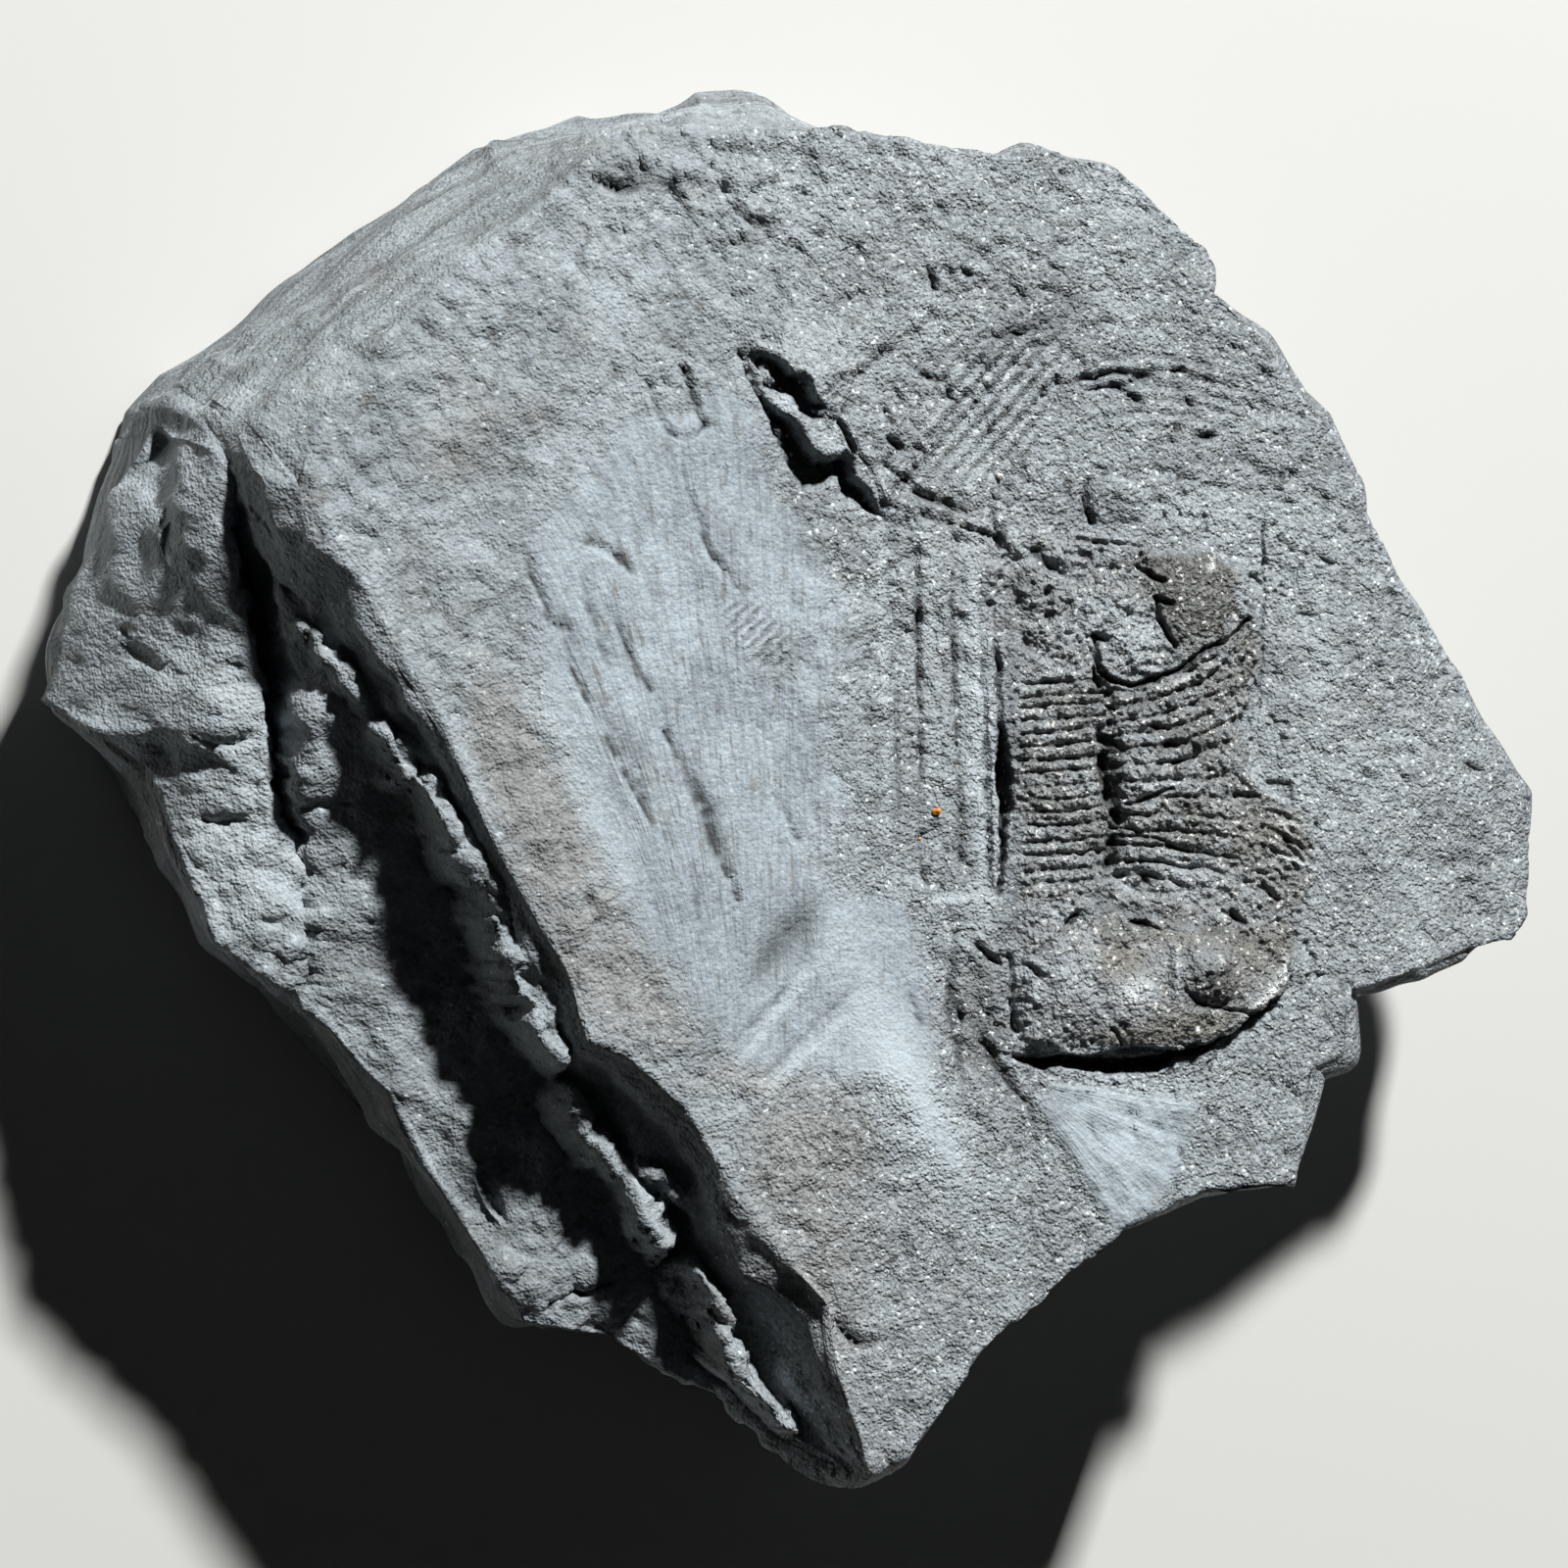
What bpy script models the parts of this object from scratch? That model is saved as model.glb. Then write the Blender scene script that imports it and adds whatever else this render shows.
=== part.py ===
"""A trilobite in its loose block of dark grey silty shale, lying on its broken base.

Two solids: the block (matrix), and the trilobite that lies in a shallow pocket in its upper face.
The block is a loft between unlike rings: each ring runs once round the block, from the rim of the
upper face, down the broken sides, to the base. Design points are in millimetres, in plan: +X is the
thin edge's side, +Y the blunt end, +Z up. The origin is under the middle of the base.
"""

import bmesh
import bpy
import numpy as np

MM = 0.001

# --- Driving dimensions, in millimetres --------------------------------------------------------------
FACE_HEIGHT = 29.5          # the upper face, at FACE_POINT
FACE_POINT = (-17.0, -8.0)
FACE_FALL_X = 0.14          # how the face falls towards +X, per mm
FACE_FALL_Y = 0.10          # and towards +Y
EDGE_BEND_X = 34.0          # beyond this line the face bends further down
EDGE_BEND = 0.009

MIDDLE = (2.37, 0.89)       # the middle of the block in plan, where the origin goes

GRID_ACROSS = 26            # quads across the upper face, ridge to thin edge
GRID_ALONG = 30             # quads along it, blunt end to tip
BASE_RIM = 0.8              # height of the rounded foot above the flat base
BASE_INSET = 0.975          # the flat base is this share of the foot's outline
CENTRE = np.array([0.0, 0.0])

POCKET_DEPTH = 1.5          # the pocket's floor below the face
FIT_GAP = 0.3               # clear all round between fossil and stone
RIB_PITCH = 1.1             # spacing of the thorax ribs
RIB_HEIGHT = 0.16
THORAX = (-8.5, 7.0)        # where the ribs run, along Y

# Stepped side, from the shoulder to the tip. Each line is one section through it: the ridge (x, y),
# the foot of the cliff (x, y, z), the lower terrace's rim (x, y, z), the foot on the ground (x, y),
# the crack that parts the left lobe from the terrace (x, y) and its depth.
STEPPED_SIDE = [
    ((-34.0, 19.0), (-36.5, 19.5, 27.0), (-41.5, 23.0, 16.0), (-42.5, 23.0), (-37.8, 20.5), 2.5),
    ((-33.0, 15.0), (-34.5, 15.0, 26.0), (-44.6, 19.4, 13.0), (-43.4, 19.2), (-36.5, 15.6), 5.0),
    ((-30.5, 13.5), (-33.0, 11.5, 25.5), (-47.0, 12.6, 11.5), (-44.8, 12.6), (-35.3, 11.2), 5.5),
    ((-27.5, 8.0), (-30.5, 7.0, 25.2), (-48.75, 5.4, 12.0), (-46.0, 5.2), (-34.7, 6.4), 5.0),
    ((-25.0, 4.0), (-27.5, 1.5, 24.4), (-42.4, 1.2, 18.4), (-46.0, -2.0), (-34.0, 1.6), 3.5),
    ((-22.0, -3.0), (-22.8, -5.2, 23.2), (-40.1, -5.6, 20.0), (-44.0, -5.8), (-33.0, -5.0), 1.5),
    ((-19.5, -7.5), (-20.8, -10.3, 23.0), (-38.2, -10.4, 20.5), (-40.5, -10.8), (-32.8, -10.0), 1.2),
    ((-17.0, -12.0), (-19.5, -14.0, 23.0), (-33.4, -13.4, 21.5), (-34.5, -15.0), (-32.3, -13.4), 1.0),
    ((-15.5, -16.5), (-17.5, -18.5, 22.6), (-27.0, -20.5, 22.0), (-26.5, -22.0), (-22.5, -19.5), 0.0),
    ((-13.0, -17.5), (-15.5, -21.0, 22.0), (-24.5, -25.0, 22.0), (-23.0, -26.0), (-20.0, -23.0), 0.0),
    ((-9.0, -21.0), (-12.5, -26.0, 22.0), (-20.5, -31.5, 22.0), (-19.0, -31.5), (-16.5, -29.0), 0.0),
    ((-6.0, -26.5), (-8.5, -31.0, 22.0), (-18.3, -35.2, 22.0), (-16.0, -35.0), (-13.5, -33.2), 0.0),
    ((-2.0, -31.5), (-6.0, -34.0, 22.0), (-12.5, -36.3, 22.0), (-10.5, -36.5), (-9.5, -35.3), 0.0),
    ((0.2, -34.0), (-4.3, -37.2, 22.2), (-8.3, -38.8, 22.0), (-6.5, -38.2), (-6.5, -38.0), 0.0),
    ((0.8, -38.0), (-3.0, -40.0, 23.0), (-5.0, -40.3, 22.0), (-3.5, -40.0), (-4.0, -40.2), 0.0),
    ((2.5, -43.0), (-0.5, -43.0, 25.0), (-1.8, -43.2, 23.5), (-0.5, -42.0), (-1.2, -43.1), 0.0),
]
# Steep sides of one fall, from the tip round the thin edge to the blunt end. Each line is one section:
# the rim (x, y), how thick the edge is there, and how far inside the rim the foot stands.
TIP_TO_CORNER = [
    (3.0, -44.8, 9.0, 2.5), (5.5, -44.0, 9.0, 3.0), (6.8, -42.5, 9.0, 3.5), (10.8, -37.3, 9.0, 5.0),
    (17.2, -32.4, 8.0, 7.0), (21.4, -29.4, 6.0, 9.0), (27.2, -27.1, 4.5, 13.0), (33.6, -26.8, 3.2, 17.0),
    (34.4, -23.0, 3.0, 16.0), (35.2, -19.0, 2.9, 15.0), (37.4, -18.1, 2.8, 15.5), (37.8, -13.9, 2.6, 14.5),
    (43.0, -12.7, 2.6, 18.0), (48.0, -11.1, 2.5, 21.0), (51.6, -10.8, 2.4, 23.0),
]
THIN_EDGE = [
    (51.6, -10.8, 2.4, 23.0), (52.8, -9.0, 2.4, 23.0), (53.2, -3.4, 2.4, 22.0), (52.8, -0.6, 2.5, 21.5),
    (50.8, 2.0, 2.6, 20.0), (46.2, 8.7, 2.8, 18.0), (44.6, 10.8, 2.8, 17.0), (40.4, 18.5, 3.0, 14.5),
    (40.2, 20.8, 3.0, 14.0), (37.8, 24.8, 3.2, 12.0), (36.0, 26.0, 3.4, 11.0), (33.2, 30.0, 3.6, 9.5),
    (29.6, 33.2, 4.0, 8.0), (29.7, 35.2, 4.2, 8.5), (28.0, 37.2, 4.5, 8.0),
]
BLUNT_END = [
    (28.0, 37.2, 4.5, 8.0), (24.6, 40.1, 5.0, 7.0), (22.5, 41.5, 5.0, 6.5), (17.2, 42.6, 6.0, 5.0),
    (15.4, 42.0, 6.0, 4.5), (9.4, 42.7, 7.0, 3.0), (3.0, 43.4, 8.0, 1.0),
]
# Blunt end to shoulder, where the side slopes outwards: rim (x, y), two points down it, and its foot.
SLOPED_SHOULDER = [
    ((-1.6, 43.1), (-0.8, 46.0, 14.0), (-0.8, 46.8, 9.0), (0.5, 46.0)),
    ((-6.4, 42.9), (-4.8, 45.2, 15.0), (-4.0, 46.0, 9.0), (-3.0, 45.8)),
    ((-11.1, 43.2), (-9.8, 44.4, 17.0), (-9.0, 45.0, 10.0), (-8.0, 45.0)),
    ((-13.8, 41.5), (-14.0, 43.6, 14.0), (-14.0, 44.6, 8.0), (-13.0, 44.9)),
    ((-17.2, 38.0), (-18.2, 41.0, 17.0), (-18.4, 43.0, 9.0), (-18.0, 43.6)),
    ((-22.6, 34.0), (-24.0, 36.4, 20.0), (-24.6, 38.0, 11.0), (-24.4, 38.6)),
    ((-28.0, 29.0), (-30.0, 31.0, 21.5), (-31.4, 32.6, 12.0), (-32.0, 33.2)),
    ((-32.0, 24.0), (-35.2, 25.6, 24.0), (-37.6, 27.6, 15.0), (-39.6, 27.6)),
]

# Open cracks in the upper face. Each point is (x, y), the crack's width and its depth.
CRACKS = {
    "notch": [(-3.9, 29.6, 0.5, 0.4), (-1.7, 24.6, 1.8, 1.8), (-0.8, 20.8, 2.2, 2.4), (3.2, 19.9, 1.5, 1.7),
              (5.0, 17.9, 0.5, 0.5)],
    "split": [(6.0, 18.2, 0.3, 0.3), (9.5, 17.5, 0.7, 0.9), (13.5, 16.2, 0.3, 0.3)],
    "fracture": [(13.4, 10.4, 0.3, 0.3), (13.1, 1.0, 0.8, 1.0), (13.2, -8.4, 0.4, 0.5)],
}
CRACK_TOP = 2.0             # how far each crack's cutter stands above the face

# The trilobite's outline, tail to head: its left and right edges and its crown at each y.
FOSSIL = [
    (16.6, 25.0, 31.8, 0.1), (15.2, 24.0, 32.8, 0.9), (12.0, 25.0, 32.9, 1.3), (9.6, 22.6, 32.8, 1.3),
    (7.6, 16.6, 32.8, 1.1), (3.4, 15.3, 31.5, 1.1), (0.0, 15.2, 31.2, 1.2), (-2.2, 15.2, 35.2, 1.2),
    (-6.5, 15.1, 36.6, 1.4), (-9.0, 15.2, 35.6, 1.7), (-11.5, 15.4, 34.2, 2.1), (-13.6, 14.6, 33.4, 2.2),
    (-15.8, 14.2, 31.8, 1.9), (-17.4, 14.4, 28.3, 1.2), (-18.6, 15.6, 22.5, 0.5),
]
FOSSIL_STEP = 0.37          # spacing of the fossil's sections, three to a rib
FOSSIL_COLUMNS = 12
AXIS_SHARE = 0.36           # where the furrow beside the axis runs, left edge to right
FURROW_DEPTH = 0.45
FURROW_WIDTH = 0.05
EYE = (27.6, -12.1, 1.3, 0.7)   # x, y, radius and height of the eye

SHALE = (0.33, 0.35, 0.355)
CUTICLE = (0.16, 0.155, 0.14)


def face_height(x, y):
    """Height of the upper face: a plane that falls to +X and +Y, and bends down past EDGE_BEND_X."""
    bend = EDGE_BEND * np.maximum(0.0, x - EDGE_BEND_X) ** 2
    plane = FACE_HEIGHT - FACE_FALL_X * (x - FACE_POINT[0]) - FACE_FALL_Y * (y - FACE_POINT[1])
    return plane - bend


def on_face(points):
    """(x, y) design points with the face's height added."""
    xy = np.array(points, float)
    return np.column_stack([xy, face_height(xy[:, 0], xy[:, 1])])


def towards_centre(xy, distance):
    """Points moved in plan towards the block's centre by a distance in mm."""
    inward = CENTRE - xy
    return xy + inward / np.linalg.norm(inward, axis=1)[:, None] * np.asarray(distance)[:, None]


def resample(curves, count):
    """Each curve of a side at the same count + 1 stations, evenly spaced along the first curve."""
    steps = np.linalg.norm(np.diff(curves[0][:, :2], axis=0), axis=1)
    knots = np.concatenate([[0.0], np.cumsum(steps)])
    at = np.linspace(0.0, knots[-1], count + 1)
    return [np.column_stack([np.interp(at, knots, c[:, k]) for k in range(3)]) for c in curves]


def steep_side(stations):
    """Rim, edge, mid and foot curves of a side that falls at once, from (x, y, edge, inset) lines."""
    data = np.array(stations, float)
    xy, edge, inset = data[:, :2], data[:, 2], data[:, 3]
    rim = on_face(xy)
    under = np.column_stack([towards_centre(xy, -0.3 + 0.0 * edge), rim[:, 2] - edge])
    mid_height = (rim[:, 2] - edge) * 0.55
    mid = np.column_stack([towards_centre(xy, 0.45 * inset), mid_height])
    foot = np.column_stack([towards_centre(xy, inset), np.full(len(xy), BASE_RIM)])
    crack = (under + mid) / 2
    return [rim, under, mid, foot, crack, np.zeros((len(xy), 3))]


def stepped_side():
    """Ridge, cliff foot, terrace rim, foot and crack curves of the stepped side, ridge end to tip."""
    ridge = on_face([s[0] for s in STEPPED_SIDE])
    cliff = np.array([s[1] for s in STEPPED_SIDE])
    rim = np.array([s[2] for s in STEPPED_SIDE])
    foot = np.array([(*s[3], BASE_RIM) for s in STEPPED_SIDE])
    crack_xy = np.array([s[4] for s in STEPPED_SIDE])
    depth = np.array([(0.0, 0.0, s[5]) for s in STEPPED_SIDE])
    inner = np.linalg.norm(crack_xy - cliff[:, :2], axis=1)
    outer = np.linalg.norm(rim[:, :2] - crack_xy, axis=1)
    share = inner / (inner + outer)
    crack = np.column_stack([crack_xy, cliff[:, 2] + share * (rim[:, 2] - cliff[:, 2])]) - depth
    return [ridge, cliff, rim, foot, crack, depth]


def sloped_shoulder():
    """The same curves where the blunt end's side slopes outwards."""
    rim = on_face([s[0] for s in SLOPED_SHOULDER])
    upper = np.array([s[1] for s in SLOPED_SHOULDER])
    lower = np.array([s[2] for s in SLOPED_SHOULDER])
    foot = np.array([(*s[3], BASE_RIM) for s in SLOPED_SHOULDER])
    return [rim, upper, lower, foot, (upper + lower) / 2, np.zeros((len(rim), 3))]


def joined(*sides):
    """Sides laid end to end, curve by curve."""
    return [np.concatenate(curves) for curves in zip(*sides)]


def blend(a, b, t):
    return a * (1.0 - t) + b * t


def ring_rows(side):
    """The rows of points of one side, from the face's rim to the flat base."""
    rim, cliff, terrace, foot, crack, depth = side
    lobe_top = blend(crack, terrace, 0.2) + depth * 0.9
    shelf_in, shelf_out = blend(rim, cliff, 0.22), blend(rim, cliff, 0.75)
    shelf_out[:, 2] = blend(rim[:, 2], cliff[:, 2], 0.45)
    belly = blend(terrace, foot, 0.55)
    belly[:, :2] += (terrace[:, :2] - CENTRE) * 0.012
    base = foot * BASE_INSET
    base[:, 2] = 0.0
    return [rim, shelf_in, shelf_out, cliff, crack, lobe_top, terrace, belly, foot, base]


def coons(top, bottom, left, right):
    """A patch between four edges: the two rulings added, and the corners' bilinear sheet taken off."""
    u = np.linspace(0.0, 1.0, len(top))[None, :, None]
    v = np.linspace(0.0, 1.0, len(left))[:, None, None]
    ruled = left[:, None] * (1 - u) + right[:, None] * u + top[None] * (1 - v) + bottom[None] * v
    corners = (top[0] * (1 - u) + top[-1] * u) * (1 - v) + (bottom[0] * (1 - u) + bottom[-1] * u) * v
    return ruled - corners


def block_mesh():
    """Points and quads of the closed block: the upper face's grid, the rings below it, the base."""
    tip_corner = steep_side(TIP_TO_CORNER)
    edge = steep_side(THIN_EDGE)
    end = joined(steep_side(BLUNT_END), sloped_shoulder(), [c[:1] for c in stepped_side()])
    tip = [c[:1] for c in tip_corner]
    left = resample(joined(stepped_side(), tip), GRID_ALONG)
    bottom = resample(tip_corner, GRID_ACROSS)
    right = resample(edge, GRID_ALONG)
    top = resample(end, GRID_ACROSS)

    plan = coons(top[0][::-1, :2], bottom[0][:, :2], left[0][:, :2], right[0][::-1, :2])
    face = np.dstack([plan, face_height(plan[..., 0], plan[..., 1])])
    points = [tuple(p) for p in face.reshape(-1, 3)]
    number = np.arange(len(points)).reshape(face.shape[:2])
    quads = [
        (number[j, i], number[j + 1, i], number[j + 1, i + 1], number[j, i + 1])
        for j in range(GRID_ALONG) for i in range(GRID_ACROSS)
    ]

    around = [ring_rows(side) for side in (left, bottom, right, top)]
    rows = [np.concatenate([side[r][:-1] for side in around]) for r in range(len(around[0]))]
    ring = np.concatenate([number[:-1, 0], number[-1, :-1], number[:0:-1, -1], number[0, :0:-1]])
    for row in rows[1:]:
        start = len(points)
        points += [tuple(p) for p in row]
        lower = np.arange(start, start + len(row))
        quads += [
            (ring[k - 1], lower[k - 1], lower[k], ring[k])[::-1] for k in range(len(ring))
        ]
        ring = lower
    points.append((*CENTRE, 0.0))
    quads += [(ring[k - 1], len(points) - 1, ring[k])[::-1] for k in range(len(ring))]
    return points, [tuple(int(n) for n in q) for q in quads]


def fossil_edges(y):
    """Left edge, right edge and crown of the trilobite at y."""
    data = np.array(FOSSIL)[::-1]
    return [np.interp(y, data[:, 0], data[:, k]) for k in (1, 2, 3)]


def fossil_outline(gap):
    """The outline in plan, grown by a gap: down the left edge, back up the right one.

    Each corner moves along the sum of its two edges' normals, so every edge moves out by the gap.
    """
    y = np.array([row[0] for row in FOSSIL])
    left, right, _ = fossil_edges(y)
    line = np.concatenate([np.column_stack([left, y]), np.column_stack([right, y])[::-1]])
    ahead = np.roll(line, -1, axis=0) - line
    ahead /= np.linalg.norm(ahead, axis=1)[:, None]
    normal = np.column_stack([ahead[:, 1], -ahead[:, 0]])
    before = np.roll(normal, 1, axis=0)
    along = np.sum(normal * before, axis=1)[:, None]
    return line + gap * (normal + before) / (1.0 + along)


def crack_mesh(stations):
    """The cutter for a crack: a V-shaped trough along its line, from its bottom to above the face."""
    data = np.array(stations, float)
    xy, width, depth = data[:, :2], data[:, 2], data[:, 3]
    ahead = np.gradient(xy, axis=0)
    ahead /= np.linalg.norm(ahead, axis=1)[:, None]
    side = np.column_stack([-ahead[:, 1], ahead[:, 0]])
    surface = face_height(xy[:, 0], xy[:, 1])
    spread = (0.5 * width * (1.0 + CRACK_TOP / depth))[:, None]
    left = np.column_stack([xy + side * spread, surface + CRACK_TOP])
    right = np.column_stack([xy - side * spread, surface + CRACK_TOP])
    bottom = np.column_stack([xy, surface - depth])
    points = [tuple(p) for section in zip(left, bottom, right) for p in section]
    last = len(points) - 3
    faces = [(0, 2, 1), (last, last + 1, last + 2)]
    for k in range(0, last, 3):
        faces += [(k + a, k + b, k + 3 + b, k + 3 + a) for a, b in ((0, 1), (1, 2), (2, 0))]
    return points, faces


def bed_height(x, y, depth):
    """A plane under the fossil, parallel to the face, at a depth below it."""
    return FACE_HEIGHT - FACE_FALL_X * (x - FACE_POINT[0]) - FACE_FALL_Y * (y - FACE_POINT[1]) - depth


def fossil_relief(x, y, across, crown):
    """Height above the face: a low arch, ribbed along the thorax, with one furrow and the eye."""
    arch = crown * (1.0 - (2.0 * across - 1.0) ** 4)
    on_thorax = np.clip((y - THORAX[0]) * 2, 0, 1) * np.clip((THORAX[1] - y) * 2, 0, 1)
    ribs = RIB_HEIGHT * np.cos(2 * np.pi * (y - 0.12 * (x - 15)) / RIB_PITCH) * on_thorax
    furrow = FURROW_DEPTH * np.exp(-(((across - AXIS_SHARE) / FURROW_WIDTH) ** 2)) * on_thorax
    eye_x, eye_y, radius, height = EYE
    eye = height * np.exp(-((x - eye_x) ** 2 + (y - eye_y) ** 2) / radius**2)
    border = np.clip(6.0 * np.minimum(across, 1.0 - across), 0.0, 1.0)
    return arch + (ribs - furrow) * border + eye


def fossil_mesh():
    """Points and faces of the trilobite: its relief on a grid, and a flat underside."""
    top, bottom = FOSSIL[0][0], FOSSIL[-1][0]
    y = np.linspace(top, bottom, int(round((top - bottom) / FOSSIL_STEP)) + 1)
    left, right, crown = fossil_edges(y)
    across = np.linspace(0.0, 1.0, FOSSIL_COLUMNS + 1)[None, :]
    x = left[:, None] * (1 - across) + right[:, None] * across
    yy = np.repeat(y[:, None], x.shape[1], axis=1)
    z = bed_height(x, yy, 0.0) + fossil_relief(x, yy, across, crown[:, None])
    points = [tuple(p) for p in np.dstack([x, yy, z]).reshape(-1, 3)]
    number = np.arange(len(points)).reshape(x.shape)
    faces = [
        (number[j, i], number[j + 1, i], number[j + 1, i + 1], number[j, i + 1])
        for j in range(len(y) - 1) for i in range(FOSSIL_COLUMNS)
    ]
    rim = np.concatenate([number[:-1, 0], number[-1, :-1], number[:0:-1, -1], number[0, :0:-1]])
    start = len(points)
    for n in rim:
        px, py, _ = points[n]
        points.append((px, py, bed_height(px, py, POCKET_DEPTH - FIT_GAP)))
    under = np.arange(start, start + len(rim))
    faces += [(rim[k - 1], under[k - 1], under[k], rim[k])[::-1] for k in range(len(rim))]
    faces.append(tuple(under[::-1]))
    return points, [tuple(int(n) for n in f) for f in faces]


def pocket_mesh():
    """The cutter for the pocket: a prism on the grown outline, from the pocket's floor upwards."""
    outline = fossil_outline(FIT_GAP)
    count = len(outline)
    floor = [(x, y, bed_height(x, y, POCKET_DEPTH)) for x, y in outline]
    lid = [(x, y, bed_height(x, y, -8.0)) for x, y in outline]
    walls = [(k - 1 if k else count - 1, k, count + k, count + (k - 1 if k else count - 1))
             for k in range(count)]
    return floor + lid, [tuple(range(count))[::-1], tuple(range(count, 2 * count)), *walls]


def material(name, colour, roughness):
    made = bpy.data.materials.new(name)
    made.use_nodes = True
    shader = made.node_tree.nodes["Principled BSDF"]
    shader.inputs["Base Color"].default_value = (*colour, 1.0)
    shader.inputs["Roughness"].default_value = roughness
    shader.inputs["Metallic"].default_value = 0.0
    return made


def solid(name, shape, collection, finish=None):
    """A mesh object in metres from points in mm, with its faces made to point outwards."""
    points, faces = shape
    mesh = bpy.data.meshes.new(name)
    placed = [((x - MIDDLE[0]) * MM, (y - MIDDLE[1]) * MM, z * MM) for x, y, z in points]
    mesh.from_pydata(placed, [], faces)
    shell = bmesh.new()
    shell.from_mesh(mesh)
    bmesh.ops.recalc_face_normals(shell, faces=shell.faces)
    shell.to_mesh(mesh)
    shell.free()
    made = bpy.data.objects.new(name, mesh)
    collection.objects.link(made)
    if finish:
        mesh.materials.append(finish)
    return made


def cut(stone, name, shape, cutters):
    """Takes a shape out of the stone with a Boolean."""
    cutter = solid(name + "_cutter", shape, cutters)
    cutter.hide_render = True
    cutter.display_type = "WIRE"
    taken = stone.modifiers.new(name, "BOOLEAN")
    taken.operation = "DIFFERENCE"
    taken.solver = "EXACT"
    taken.object = cutter


def main():
    for thing in list(bpy.data.objects):
        bpy.data.objects.remove(thing)
    parts = bpy.data.collections.new("fossil_trilobite")
    cutters = bpy.data.collections.new("cutters")
    for collection in (parts, cutters):
        bpy.context.scene.collection.children.link(collection)

    stone = solid("matrix", block_mesh(), parts, material("grey_shale", SHALE, 0.85))
    solid("trilobite", fossil_mesh(), parts, material("dark_cuticle", CUTICLE, 0.6))
    cut(stone, "pocket", pocket_mesh(), cutters)
    for name, stations in CRACKS.items():
        cut(stone, name, crack_mesh(stations), cutters)


main()
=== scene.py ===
# %% [markdown]
# # A trilobite in its block of shale
#
# The object is one loose piece of dark grey silty shale, broken out of its bed, with a trilobite lying
# on its upper face. A rock has no straight edge and no repeated part, so nothing here starts from a cube
# or a sphere. Each surface is worked out with numpy, as heights and offsets over a grid of points.
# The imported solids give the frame: where the block stands and how large it is.

from itertools import product

import bpy
import numpy as np
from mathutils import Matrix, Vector


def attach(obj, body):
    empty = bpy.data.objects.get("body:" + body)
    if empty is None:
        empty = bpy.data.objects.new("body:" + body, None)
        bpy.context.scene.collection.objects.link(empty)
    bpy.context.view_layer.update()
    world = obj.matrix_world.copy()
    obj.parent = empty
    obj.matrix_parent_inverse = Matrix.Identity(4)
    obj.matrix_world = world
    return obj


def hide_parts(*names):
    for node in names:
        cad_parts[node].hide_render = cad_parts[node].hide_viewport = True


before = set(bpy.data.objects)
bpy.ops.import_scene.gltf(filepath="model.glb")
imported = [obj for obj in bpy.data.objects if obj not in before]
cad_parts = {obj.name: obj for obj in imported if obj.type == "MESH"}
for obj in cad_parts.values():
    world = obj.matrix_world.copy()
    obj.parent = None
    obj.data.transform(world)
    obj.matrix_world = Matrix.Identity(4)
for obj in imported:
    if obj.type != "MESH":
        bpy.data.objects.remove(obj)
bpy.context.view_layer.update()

# %% [markdown]
# ## Units and small tools
#
# The design is drawn in millimetres in plan, +X to the thin edge and +Y to the blunt end, and is put
# into metres only when a mesh is made. `MIDDLE` is the point of the plan that stands over the origin.
#
# Broken stone is rough at every scale, which a sum of noises gives. Blender has noise functions, but
# they take one point at a time, so the noise here is worked out for all points at once: each corner of
# a lattice has a fixed chance value, and a point blends the values of the corners around it.

# %% Units and noise
MM = 0.001
MIDDLE = np.array([2.37, 0.89])
# the chance value of a lattice corner is the fraction of SCATTER * sin(corner . LATTICE_STEPS + seed *
# SEED_STEP); the steps share no factor, so corners near each other differ
LATTICE_STEPS = np.array([127.1, 311.7, 74.7])
SEED_STEP = 53.3
SCATTER = 43758.5453


def smooth(t):
    """0 below 0, 1 above 1, and 3t^2 - 2t^3 between, which starts and stops without a kink."""
    t = np.clip(t, 0.0, 1.0)
    return t * t * (3.0 - 2.0 * t)


def noise(points, cell, seed):
    """Values from -1 to 1 that change over a cell's width: the lattice corners' chance values, blended."""
    spot = np.asarray(points) / cell
    base = np.floor(spot)
    part = smooth(spot - base)
    total = 0.0
    for corner in product((0, 1), repeat=spot.shape[-1]):
        lattice = base + corner
        share = np.prod(np.where(corner, part, 1.0 - part), axis=-1)
        wave = SCATTER * np.sin(lattice @ LATTICE_STEPS[: spot.shape[-1]] + SEED_STEP * seed)
        total = total + share * (wave - np.floor(wave))
    return 2.0 * total - 1.0


def rough(points, cell, octaves, seed, gain=0.5):
    """Noise on noise: each octave has half the cell and `gain` times the height of the one before."""
    layers = [gain**k * noise(points, cell / 2**k, seed + 17 * k) for k in range(octaves)]
    return sum(layers)


def shaken(x, y, size, seed):
    """The plan moved about by noise, so that a line drawn on it comes out ragged as broken stone does."""
    points = np.stack([x, y], -1)
    return x + size * rough(points, 1.1, 3, seed, 0.6), y + size * rough(points, 1.1, 3, seed + 5, 0.6)


trial = np.random.default_rng(1).uniform(0, 90, (9000, 2))
print("noise spreads by", round(float(noise(trial, 1.0, 3).std()), 2))

# %% [markdown]
# Everything drawn on the stone is one of four kinds: a value on or beside a line, a groove along a line,
# a soft mound or hollow, and the inside of an outline. Each is worked out from the distance to a line
# or a point, for all points of a grid at once, and has real sizes that can be moved and measured.

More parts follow.
